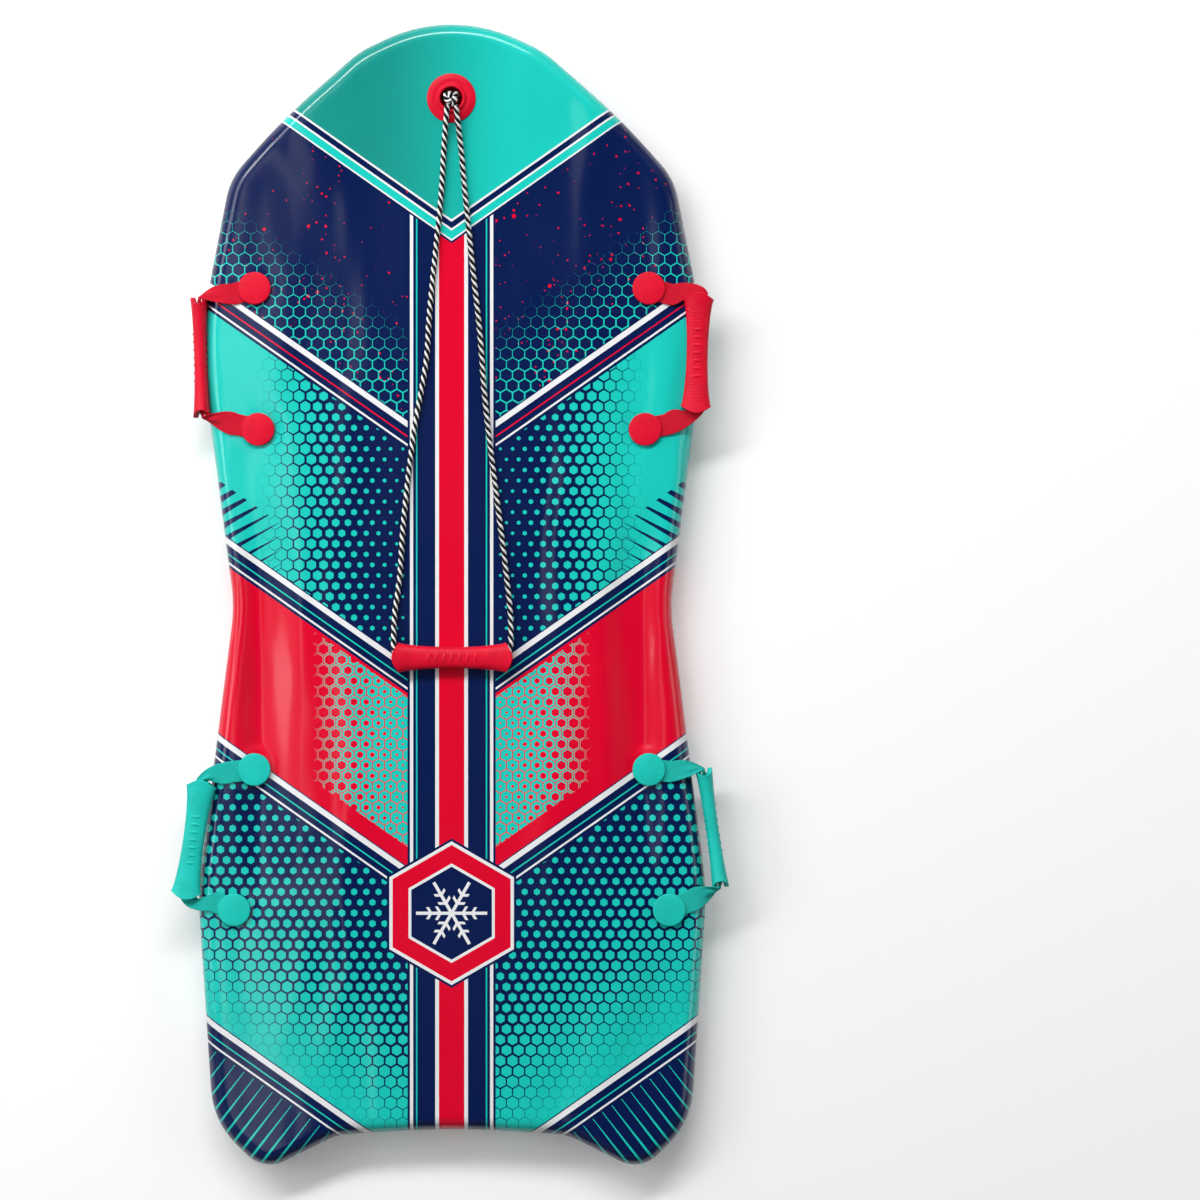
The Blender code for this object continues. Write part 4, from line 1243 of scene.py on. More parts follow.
    def running_sheet(self, finishes: Finishes) -> Piece:
        """The slick sheet under the board.

        Args:
            finishes: The sled's finishes.

        Returns:
            The new piece.
        """
        steps = self.recess_steps
        wall = [self.recess_radius + self.recess_wall * step / steps for step in range(steps + 1)]
        radii = [*self.sheet_rings, *wall, self.sheet_clear]
        border = self.sheet_inset + self.sheet_border
        plan = self.plan(border, self.plug_below, radii, self.channel_lines()).solve()
        height = self.floor_height(plan.x, plan.y)
        edge = []
        for step in range(1, self.wall_steps + 1):
            lean = math.pi * step / self.wall_steps
            into = self.sheet_inset + self.sheet_bulge * (1 - math.sin(lean))
            up = self.sheet / 2 * (1 - math.cos(lean))
            edge.append(self.lifted(into, up))
        draft = plan.layer(height, height + self.sheet_wall, edge)
        return draft.piece("running_sheet", [finishes.running], crease=60)

    def build(self, frame: dict, finishes: Finishes) -> None:
        """Build and dress the board's film, sheet and foam."""
        mount(self.deck_film(finishes), "deck_skin")
        mount(self.running_sheet(finishes), "slick_base")
        core = frame["nodes"]["foam_core"]
        core.data.materials.clear()
        core.data.materials.append(finishes.foam)


class Plan:
    """A flat triangulation with a border and round holes."""

    def __init__(self, border: Row) -> None:
        """Start with the border."""
        self.inputs: Row = []
        self.edges: list[tuple[int, int]] = []
        self.rings = [self.chain(border, True)]
        self.circles: list[tuple[Vector, float]] = []

    def chain(self, points: Row, closed: bool = False) -> list[int]:
        """Add a chain of fixed edges and return its places in the list."""
        first = len(self.inputs)
        places = list(range(first, first + len(points)))
        self.inputs += points
        self.edges += list(zip(places, places[1:]))
        if closed:
            self.edges.append((places[-1], first))
        return places

    def add_hole(self, centre: Vector, radius: float, steps: int) -> None:
        """Cut a round hole."""
        self.rings.append(self.chain(circle(centre, radius, steps), True))
        self.circles.append((centre, radius))

    def solve(self) -> "Plan":
        """Triangulate, leave the holes open, and return the plan itself.

        Returns:
            The plan itself.
        """
        flat, _, faces, origins, _, _ = delaunay_2d_cdt(self.inputs, self.edges, [], 1, 1e-7)
        self.x = np.array([point[0] for point in flat])
        self.y = np.array([point[1] for point in flat])
        where = {source: index for index, group in enumerate(origins) for source in group}
        self.border, *self.holes = [[where[index] for index in ring] for ring in self.rings]
        corners = np.array(faces)
        middle_x, middle_y = self.x[corners].mean(1), self.y[corners].mean(1)
        keep = np.ones(len(faces), bool)
        for centre, radius in self.circles:
            keep &= np.hypot(middle_x - centre.x, middle_y - centre.y) > radius
        self.faces = corners[keep]
        return self

    def lay(self, draft: Draft, height: Array) -> list[list[Vert]]:
        """Lay the plan at its heights and return the border's and the holes' vertices."""
        verts = [draft.bm.verts.new(point) for point in zip(self.x, self.y, height)]
        for a, b, c in self.faces:
            draft.bm.faces.new((verts[a], verts[b], verts[c]))
        return [[verts[index] for index in ring] for ring in (self.border, *self.holes)]

    def layer(self, first: Array, last: Array, edge: Rows) -> Draft:
        """Draft a solid between two heights of the plan, with rows of points round its edge.

        Args:
            first: Heights of one face.
            last: Heights of the other.
            edge: Rows of points.

        Returns:
            The draft.
        """
        draft = Draft()
        (rim, *holes), (other_rim, *other_holes) = (self.lay(draft, height) for height in (first, last))
        rings = [rim, *(draft.ring(row) for row in edge), other_rim]
        for joined in (rings, *zip(holes, other_holes)):
            draft.bands(joined)
        return draft


def circle(centre: Vector, radius: float, steps: int) -> Row:
    """Points round a circle."""
    turns = [math.tau * step / steps for step in range(steps)]
    return [centre + radius * Vector((math.cos(turn), math.sin(turn))) for turn in turns]


def turned(
    name: str,
    profile: Sequence[Spot],
    finish: Material,
    place: Vector,
    axis: Vector = Vector((0, 0, 1)),
    closed: bool = False,
    steps: int = 72,
) -> Piece:
    """Turn a profile about an axis.

    Args:
        name: The piece's name.
        profile: Radii and heights along it.
        finish: Its material.
        place: Where the axis meets height 0.
        axis: Its direction.
        closed: Whether the profile's end joins its start.
        steps: Sides round the axis.

    Returns:
        The new piece.
    """
    turn = axis.to_track_quat("Z", "Y").to_matrix()
    draft = Draft()
    rim = [(math.cos(lean), math.sin(lean)) for lean in (math.tau * step / steps for step in range(steps))]
    rows = []
    for radius, height in [*profile, profile[0]] if closed else profile:
        rows.append([place + turn @ Vector((radius * x, radius * y, height)) for x, y in rim])
    draft.skin(rows)
    return draft.piece(name, [finish], crease=42)


def rounded_profile(points: Sequence[Place], steps: int = 5) -> list[Spot]:
    """Round the corners of a profile.

    Args:
        points: Radius, height and corner radius of each point.
        steps: Steps round each corner.

    Returns:
        Radii and heights.
    """
    made = []
    for index, (x, y, radius) in enumerate(points):
        corner = Vector((x, y))
        if radius <= 0 or index in (0, len(points) - 1):
            made.append((x, y))
            continue
        before = Vector(points[index - 1][:2]) - corner
        after = Vector(points[index + 1][:2]) - corner
        cut = min(radius, 0.48 * before.length, 0.48 * after.length)
        start, end = corner + before.normalized() * cut, corner + after.normalized() * cut
        for step in range(steps + 1):
            share = step / steps
            spot = start * (1 - share) ** 2 + corner * 2 * share * (1 - share) + end * share**2
            made.append((spot.x, spot.y))
    return made


def middle_of(node: str) -> Vector:
    """The middle of a frame node."""
    low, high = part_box(node)
    return (low + high) / 2


def settle(piece: Piece, node: str) -> None:
    """Hide the frame node that a piece stands for, and log the piece."""
    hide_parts(node)
    LOG.info("%s: %d faces", piece.name, len(piece.data.polygons))


def mount(piece: Piece, node: str, body: str = Body.BOARD.value) -> None:
    """Fix a piece to a rigid body, in place of a frame node."""
    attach(piece, body)
    settle(piece, node)


@dataclass
class SideButton:
    """A domed button over the deck and its backing disc below."""

    name: str
    board: Board
    finish: Material
    slot: str
    radius: float = 0.0175
    rim: float = 0.0022
    dome: float = 0.0014
    web: float = 0.0018
    post: float = 0.0056
    backing_radius: float = 0.0168
    backing_thick: float = 0.0034
    socket_depth: float = 0.0020
    crown_share: float = 0.93
    dome_fall: float = 0.62
    foot_bevel: float = 0.0005
    dome_steps: int = 13
    edge_steps: int = 8

    def head_profile(self, foot: float) -> list[Spot]:
        """Section of the head and its post.

        Args:
            foot: Lowest height of the post.

        Returns:
            Radii and heights.
        """
        under = GAP + self.web + GAP
        top = under + self.rim + self.dome
        made = [(0.0, top)]
        crown, fall = self.radius * self.crown_share, self.dome * self.dome_fall
        for step in range(1, self.dome_steps):
            share = step / self.dome_steps
            made.append((crown * share, top - fall * share**2.4))
        shoulder = under + self.rim * 0.55
        for step in range(self.edge_steps + 1):
            turn = math.pi / 2 * step / self.edge_steps
            out = crown + (self.radius - crown) * math.sin(turn)
            made.append((out, shoulder + (top - fall - shoulder) * math.cos(turn)))
        return made + [
            (self.radius, under + self.foot_bevel),
            (self.radius - self.foot_bevel, under),
            (self.post, under),
            (self.post, foot),
            (0.0, foot),
        ]

    def build(self) -> None:
        """Build the head and the backing, and mount them on the board."""
        place = self.board.buttons[self.name]
        seat = self.board.seat_level(self.name)
        top = float(self.board.rocker(place.y)) + self.board.recess_depth - GAP
        socket = top - self.socket_depth
        profile = self.head_profile(socket + GAP - seat)
        head = turned(f"{self.name}_button_head", profile, self.finish, Vector((*place, seat)))
        bore, rim, thick = self.post + GAP, self.backing_radius, self.backing_thick
        profile = rounded_profile(
            [
                (0.0, socket, 0),
                (bore, socket, 0),
                (bore, top, 0),
                (rim, top, 0.0006),
                (rim, top - thick * 0.70, 0.0011),
                (rim * 0.92, top - thick, 0.0011),
                (rim * 0.40, top - thick * 0.94, 0.0020),
                (0.0, top - thick * 0.94, 0),
            ]
        )
        disc = turned(f"{self.name}_backing_disc", profile, self.finish, Vector((*place, 0.0)))
        mount(head, f"{self.name}_button")
        mount(disc, f"{self.name}_backing")


@dataclass
class GripShape:
    """A waisted oval grip: saddle rims, cross ribs towards its ends and bars in the middle."""

    length: float = 0.129
    half_broad: Spot = (0.0113, 0.0165)
    half_thin: Spot = (0.0068, 0.0093)
    flare: float = 2.2
    squareness: float = 2.5
    rim_cut: float = 0.0075
    rim_sharpness: float = 1.4
    rim_depth: int = 8
    bore: Spot = (0.0090, 0.00375)
    bore_reach: float = 0.94
    bore_rings: int = 9
    rib_pitch: float = 0.0024
    rib_height: float = 0.00027
    rib_fades: tuple[Spot, Spot] = ((0.30, 0.25), (0.965, 0.03))
    bar_pitch: float = 0.0083
    bar_count: int = 7
    bar_half: Spot = (0.0032, 0.0010)
    bar_height: float = 0.0009
    bar_bevel: float = 0.0012
    rim_round: float = 0.0011
    rim_steps: int = 4
    step: float = 0.00052
    sides: int = 60

    def size(self, share: float) -> Spot:
        """Half width and half thickness at a share of the half length."""
        swell = abs(share) ** self.flare
        broad = self.half_broad[0] + (self.half_broad[1] - self.half_broad[0]) * swell
        thin = self.half_thin[0] + (self.half_thin[1] - self.half_thin[0]) * swell
        return broad, thin

    def cut(self, share: float, lean: float) -> float:
        """How far the rim is cut back at a lean round the grip."""
        return self.rim_cut * abs(math.cos(lean)) ** self.rim_sharpness * abs(share) ** self.rim_depth

    def raised(self, along: float, aside: float, lean: float) -> float:
        """Height of ribs and bars at a place on the surface.

        Args:
            along: Distance from its middle.
            aside: Distance across it.
            lean: Angle round it.

        Returns:
            The height.
        """
        share = abs(along) / (self.length / 2)
        upright = abs(math.sin(lean))
        (start, rise), (end, fall) = self.rib_fades
        ribs = ease((share - start) / rise) * ease((end - share) / fall)
        wave = 0.5 * math.cos(math.tau * along / self.rib_pitch)
        height = self.rib_height * (0.35 + 0.65 * ribs) * wave * (0.45 + 0.55 * upright)
        most = self.bar_count // 2
        number = min(max(round(along / self.bar_pitch), -most), most)
        from_bar = abs(along - number * self.bar_pitch)
        bar = self.bar_height
        for half, away in zip(self.bar_half, (aside, from_bar)):
            bar *= ease((half + self.bar_bevel / 2 - away) / self.bar_bevel)
        return height + bar * (upright > 0.6)

    def rows(self, place: Callable[[float, float, float], Vector]) -> Rows:
        """Rings over the outside, round both rims and through the bore.

        Args:
            place: Gives a point from its distances along, broadways and thinways.

        Returns:
            The rings, which close on themselves.
        """
        leans = [math.tau * index / self.sides for index in range(self.sides)]
        power = 2 / self.squareness
        ovals = []
        for lean in leans:
            ovals.append((lean, *(signed_power(part, power) for part in (math.cos(lean), math.sin(lean)))))
        count = round((self.length - 2 * self.rim_round) / self.step)
        reach = self.length / 2 - self.rim_round
        rows = []
        for number in range(count + 1):
            along = -reach + 2 * reach * number / count
            share = along / (self.length / 2)
            broad, thin = self.size(share)
            row = []
            for lean, a, b in ovals:
                lift = self.raised(along, abs(a * broad), lean)
                back = math.copysign(self.cut(share, lean), along)
                row.append(place(along - back, a * (broad + lift), b * (thin + lift)))
            rows.append(row)
        rows += self.rim(place, ovals, 1)
        shares = np.linspace(self.bore_reach, -self.bore_reach, self.bore_rings)
        rows += [self.ring(place, ovals, self.bore, share, 0.0) for share in shares]
        return rows + self.rim(place, ovals, -1)[::-1]

    def ring(self, place: Callable, ovals: list, size: Spot, share: float, pull: float) -> Row:
        """One plain ring at a share of the half length, pulled in by a distance."""
        row = []
        for lean, a, b in ovals:
            along = share * self.length / 2 - math.copysign(self.cut(share, lean) + pull, share)
            row.append(place(along, a * size[0], b * size[1]))
        return row

    def rim(self, place: Callable, ovals: list, hand: int) -> Rows:
        """Rings that roll over a rim from the outside into the bore.

        Args:
            place: Gives a point.
            ovals: Angles and their unit sections.
            hand: 1 or -1, the end.

        Returns:
            The rings.
        """
        rows = []
        for outer, size in ((True, self.size(1.0)), (False, self.bore)):
            for step in range(int(outer), self.rim_steps + 1):
                turn = math.pi / 2 * step / self.rim_steps
                if outer:
                    draw, pull = 1 - math.cos(turn), 1 - math.sin(turn)
                else:
                    draw, pull = math.sin(turn) - 1, 1 - math.cos(turn)
                broad, thin = (part - self.rim_round * draw for part in size)
                rows.append(self.ring(place, ovals, (broad, thin), float(hand), self.rim_round * pull))
        return rows

    def build(
        self, name: str, centre: Vector, axes: Row, finish: Material
    ) -> Piece:
        """Build a grip.

        Args:
            name: The piece's name.
            centre: Its middle.
            axes: Its directions along, broadways and thinways.
            finish: Its material.

        Returns:
            The new piece.
        """
        along, broad, thin = axes
        rows = self.rows(lambda a, b, c: centre + along * a + broad * b + thin * c)
        draft = Draft()
        draft.skin([*rows, rows[0]])
        return draft.piece(name, [finish], crease=50)


@dataclass(frozen=True)
class StrapLay:
    """Bends of a strap's two edges: endward, outward and up, in millimetres.

    The first bend of each edge is measured from its button, the others from the mouth of the grip.
    """

    endward: tuple[Place, Place, Place]
    inward: tuple[Place, Place, Place]


@dataclass
class StrapShape:
    """The webbing of a side handle."""

    width: float = 0.023
    thick: float = 0.0018
    slant: float = 0.25
    tab_back: float = 0.010
    tab_end: float = 0.0233
    tab_rows: int = 30
    bore_width: float = 0.0156
    mouth_depth: float = 0.012
    mouth_steps: int = 8
    inner_inset: float = 0.0115
    inner_rows: int = 13
    hinge_reach: float = 0.0245
    post_hole: float = 0.0062
    pleat: float = 0.0018
    steps: int = 64
    lanes: int = 18
    edge_turns: tuple[int, ...] = (60, 20, -20, -60)
    parting: float = 0.40
    twist_start: float = 0.66
    hinge_flex: float = 0.0045

    def section(self, centre: Vector, side: Vector, up: Vector, width: float, bunch: float) -> Row:
        """A closed section of the webbing, with rounded selvedges.

        Args:
            centre: The middle of its thickness.
            side: Its width direction.
            up: Its thickness direction.
            width: How wide it is here.
            bunch: Height of its lengthwise pleats, where it is gathered.

        Returns:
            Points over its top from side to side, and back along its underside.
        """
        half, flat = self.thick / 2, width / 2 - self.thick * 0.45
        places = []
        for hand in (1, -1):
            for lane in range(self.lanes + 1):
                places.append((hand * flat * (2 * lane / self.lanes - 1), hand * half))
            for turn in self.edge_turns:
                bend = math.radians(turn)
                out = flat + half * 0.9 * math.cos(bend)
                places.append((hand * out, hand * half * math.sin(bend)))
        row = []
        for aside, lift in places:
            turn = math.pi * aside / width
            pleat = bunch * (0.8 * math.cos(3 * turn) + 0.4 * math.cos(turn) - 0.25)
            row.append(centre + side * aside + up * (lift + pleat))
        return row

    def across(self, width: float) -> list[float]:
        """Surface coordinates of a section's points, and of its first point again."""
        half = width / 2
        top = [-half + width * lane / self.lanes for lane in range(self.lanes + 1)]
        edge = [half + 0.0006 * step for step in (1, 2, 2, 1)]
        other = [-value for value in edge]
        return [*top, *edge, *top[::-1], *other, top[0]]


class SideHandle:
    """One side handle: two buttons, two straps and a grip, placed from the frame."""

    def __init__(self, name: str, lie: Lie, board: Board, finishes: Finishes) -> None:
        """Find the handle's place in the frame.

        Args:
            name: Its name in the frame.
            lie: How its grip lies.
            board: The board.
            finishes: The sled's finishes.
        """
        self.name, self.lie, self.board, self.finishes = name, lie, board, finishes
        self.colour = "red" if name.startswith("front") else "teal"
        self.side = -1 if name.endswith("left") else 1
        self.strap = StrapShape()
        self.grip = GripShape()
        ends = [f"{name}_{end}" for end in ("fore", "aft")]
        fore, aft = [Vector((*board.buttons[end], board.seat_level(end))) for end in ends]
        self.along = (fore - aft).normalized()
        flat = Vector((self.along.y, -self.along.x, 0)).normalized()
        self.outward = flat * self.side
        self.up = Vector((0, 0, 1))
        self.middle = (fore + aft) / 2
        self.half_pitch = (fore - aft).length / 2
        self.centre = middle_of(f"{name}_grip")
        away = self.centre - self.middle
        self.slide, self.reach = away.dot(self.along), away.dot(self.outward)
        height = (away - self.along * self.slide - self.outward * self.reach).dot(self.up)
        self.height = height / (1 - self.along.z**2)

    def point(self, along: float, out: float, up: float) -> Vector:
        """A place given along the buttons, outwards and up from the seats."""
        return self.middle + self.along * along + self.outward * out + self.up * up

    def beside(self, end: int, ahead: float, out: float, up: float) -> Vector:
        """A place given from one button: endwards along the pair's line, outwards and up."""
        return self.point(end * (self.half_pitch + ahead), out, up)

    def tab_edges(self, end: int) -> list[tuple[Vector, Vector]]:
        """Both edges of the strap under and beside its button, where it lies flat and aslant.

        Args:
            end: 1 at the front button, -1 at the rear one.

        Returns:
            Pairs of points.
        """
        strap = self.strap
        lean = math.atan(strap.slant)
        level = GAP + strap.thick / 2
        edges = []
        for share in np.linspace(0.0, 1.0, strap.tab_rows):
            out = -strap.tab_back + (strap.tab_end + strap.tab_back) * float(share)
            half = strap.width / 2 * (0.55 + 0.45 * math.sqrt(ease((out + strap.tab_back) / 0.006)))
            ahead, aside = half * math.cos(lean), half * math.sin(lean)
            middle = -strap.slant * out
            pair = (self.beside(end, middle + hand * ahead, out + hand * aside, level) for hand in (1, -1))
            edges.append(tuple(pair))
        return edges

    def leg_edges(self, end: int, start: tuple[Vector, Vector]) -> list[tuple[Vector, Vector]]:
        """Both edges of the strap from its tab to the mouth of the grip, and on into the bore.

        Args:
            end: 1 at the front button, -1 at the rear one.
            start: The tab's last pair.

        Returns:
            Pairs of points.
        """
        strap = self.strap
        mouth = end * self.slide + self.grip.length / 2 + 3 * GAP - self.half_pitch
        lay = LAYS[f"{self.name}_{'fore' if end > 0 else 'aft'}"]
        routes = []
        for first, bends in zip(start, (lay.endward, lay.inward)):
            route = [first, self.beside(end, *(part * MM for part in bends[0]))]
            for bend in bends[1:]:
                ahead, out, up = (part * MM for part in bend)
                route.append(self.beside(end, mouth + ahead, self.reach + out, self.height + up))
            routes.append(route)
        shares = [step / strap.steps for step in range(1, strap.steps + 1)]
        edges = [tuple(bezier(route, share) for route in routes) for share in shares]
        last = edges[-1]
        half = strap.bore_width / 2
        spread = (half, 0.0) if self.lie is Lie.FLAT else (0.0, -half)
        for step in range(1, strap.mouth_steps + 1):
            depth = strap.mouth_depth * step / strap.mouth_steps
            pair = []
            for hand, edge in zip((1, -1), last):
                out, up = (hand * part for part in spread)
                held = self.beside(end, mouth - depth, self.reach + out, self.height + up)
                pair.append((edge - self.along * (end * depth)).lerp(held, ease(step / 5)))
            edges.append(tuple(pair))
        return edges

    def strap_rows(self, end: int) -> tuple[Rows, list[float], Row]:
        """Sections of the strap from button to grip, their distances along it and their middles.

        Args:
            end: 1 at the front button, -1 at the rear one.

        Returns:
            Sections, distances and middles.
        """
        strap = self.strap
        edges = self.tab_edges(end)
        edges += self.leg_edges(end, edges[-1])
        middles = [(first + second) / 2 for first, second in edges]
        rows, lengths, run = [], [], 0.0
        for number, (first, second) in enumerate(edges):
            way = middles[min(number + 1, len(middles) - 1)] - middles[max(number - 1, 0)]
            side, width = (first - second).normalized(), (first - second).length
            up = way.cross(side).normalized()
            if number == 0:
                sign = 1.0 if up.dot(self.up) > 0 else -1.0
            pleat = strap.pleat * ease((strap.width - width) / 0.010) * ease((number - strap.tab_rows) / 12)
            rows.append(strap.section(middles[number], side, up * sign, width, pleat))
            run += (middles[number] - middles[number - 1]).length if number else 0.0
            lengths.append(run)
        return rows, lengths, middles

    def strap_piece(self, name: str, rows: list, lengths: list[float]) -> Piece:
        """Skin part of a strap and close its two ends."""
        draft = Draft()
        placed = draft.skin(rows, lengths, self.strap.across(self.strap.width))
        for ring in (placed[0], placed[-1]):
            self.close_end(draft, ring)
        return draft.piece(name, [self.finishes.webbing[self.colour]], crease=60)

    def close_end(self, draft: Draft, ring: list) -> None:
        """Close a strap's end with quads from its top to its underside."""
        lanes = self.strap.lanes
        top, bottom = ring[: lanes + 1], ring[lanes + 5 : 2 * lanes + 6][::-1]
        for index in range(lanes):
            draft.face((top[index], top[index + 1], bottom[index + 1], bottom[index]))
        draft.face([*ring[lanes : lanes + 6]])
        draft.face([*ring[2 * lanes + 5 :], ring[0]])

    def straps(self, end: int) -> None:
        """Both pieces of one strap: the root at the button, and the mouth.

        Args:
            end: 1 at the front button, -1 at the rear one.
        """
        name = f"{self.name}_{'fore' if end > 0 else 'aft'}"
        strap, cloth = self.strap, f"{self.colour}_webbing"
        rows, lengths, middles = self.strap_rows(end)
        parting = strap.tab_rows + round(strap.steps * strap.parting)
        root = self.strap_piece(f"{name}_strap_root", rows[: parting + 1], lengths[: parting + 1])
        self.punch(root, name)
        mouth = self.strap_piece(f"{name}_strap_mouth", rows[parting:], lengths[parting:])
        hinge = self.point(self.half_pitch * end, strap.hinge_reach, GAP)
        flex = self.outward * strap.hinge_flex
        hinge - flex
        hinge + flex
        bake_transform(root)
        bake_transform(mouth)
        settle(root, f"{name}_tab")
        settle(mouth, f"{name}_leg")

    def punch(self, root: Piece, button: str) -> None:
        """Punch the strap for its button's post.

        Args:
            root: The strap's root.
            button: The button's name.
        """
        place = Vector((*self.board.buttons[button], self.board.seat_level(button)))
        profile = [(0.0, 0.004), (self.strap.post_hole, 0.004), (self.strap.post_hole, -0.002), (0.0, -0.002)]
        cutter = turned("punch", profile, self.finishes.webbing[self.colour], place, steps=32)
        cut = root.modifiers.new("punch", "BOOLEAN")
        cut.operation = "DIFFERENCE"
        cut.object = cutter
        bpy.context.view_layer.update()
        evaluated = root.evaluated_get(bpy.context.evaluated_depsgraph_get())
        mesh = bpy.data.meshes.new_from_object(evaluated)
        root.modifiers.clear()
        root.data = mesh
        bpy.data.objects.remove(cutter)

    def build(self) -> None:
        """Build and dress the whole handle."""
        moulding = self.finishes.moulding[self.colour]
        for end in ("fore", "aft"):
            SideButton(f"{self.name}_{end}", self.board, moulding, f"{self.colour}_moulding").build()
        thin, broad = (self.up, self.outward) if self.lie is Lie.FLAT else (self.outward, self.up)
        grip = self.grip.build(f"{self.name}_moulded_grip", self.centre, (self.along, broad, thin), moulding)
        handle = f"{self.name}_handle"
        mount(grip, f"{self.name}_grip", handle)
        for end in (1, -1):
            self.straps(end)
        mount(self.inner_strap(broad), f"{self.name}_inner_strap", handle)

    def inner_strap(self, broad: Vector) -> Piece:
        """The stretch of webbing inside the grip.

        Args:
            broad: The grip's broad direction.

        Returns:
            The new piece.
        """
        strap = self.strap
        reach = self.grip.length / 2 - strap.inner_inset
        thin = self.along.cross(broad).normalized()
        width = strap.bore_width * 0.9
        rows, lengths = [], []
        for share in np.linspace(-1, 1, strap.inner_rows):
            along = float(share) * reach
            pleat = strap.pleat * 0.5 * float(share) ** 2
            rows.append(strap.section(self.centre + self.along * along, broad, thin, width, pleat))
            lengths.append(along)
        return self.strap_piece(f"{self.name}_inner_webbing", rows, lengths)


def bezier(points: Row, share: float) -> Vector:
    """A point of a cubic curve."""
    a, b, c, d = points
    rest = 1 - share
    return a * rest**3 + b * 3 * rest**2 * share + c * 3 * rest * share**2 + d * share**3


@dataclass
class RopeShape:
    """A twisted rope of four strands, laid two white and two black."""

    radius: float = 0.0030
    lay: float = 0.0179
    strands: int = 4
    points_per_strand: int = 6
    black_faces: tuple[int, int] = (4, 11)
    step: float = 0.00125
    swell: float = 1.06

    def lobe_radius(self, angle: float) -> float:
        """Radius of the rope's section at an angle, the union of its strands' circles."""
        spread = math.pi / self.strands
        local = (angle + spread) % (2 * spread) - spread
        offset = self.radius / (1 + math.sin(spread))
        strand = offset * math.sin(spread)
        aside = offset * math.sin(local)
        return offset * math.cos(local) + math.sqrt(max(strand**2 * self.swell - aside**2, 0.0))

    def add(self, draft: Draft, route: Row, closed: bool = False) -> None:
        """Lay rope along a smooth route into a draft.

        Args:
            draft: The mesh that takes it.
            route: Points close together along the middle of the rope.
            closed: Whether the route ends where it starts.
        """
        count = self.strands * self.points_per_strand
        angles = [math.tau * (point + 0.5) / count for point in range(count)]
        reaches = [self.lobe_radius(angle - math.pi / self.strands) for angle in angles]
        way = (route[1] - route[0]).normalized()
        side = way.orthogonal().normalized()
        rows, lengths, run = [], [], 0.0
        for index, spot in enumerate(route):
            before, after = route[max(index - 1, 0)], route[min(index + 1, len(route) - 1)]
            way = (after - before).normalized()
            side = (side - way * side.dot(way)).normalized()
            other = way.cross(side)
            run += (spot - route[index - 1]).length if index else 0.0
            twist = -math.tau * run / self.lay
            row = []
            for angle, reach in zip(angles, reaches):
                turn = angle + twist
                row.append(spot + (side * math.cos(turn) + other * math.sin(turn)) * reach)
            rows.append(row)
            lengths.append(run)
        across = [math.tau * self.radius * point / count for point in range(count + 1)]
        first, last = self.black_faces
        finishes = [int(first <= point % (2 * self.points_per_strand) < last) for point in range(count)]
        if closed:
            rows.append(rows[0])
            lengths.append(run + (route[0] - route[-1]).length)
        placed = draft.skin(rows, lengths, across, finishes)
        if not closed:
            for ring, spot in ((placed[0], route[0]), (placed[-1], route[-1])):
                hub = draft.bm.verts.new(spot)
                for index in range(count):
                    draft.face((ring[index - 1], ring[index], hub), finishes[index - 1])


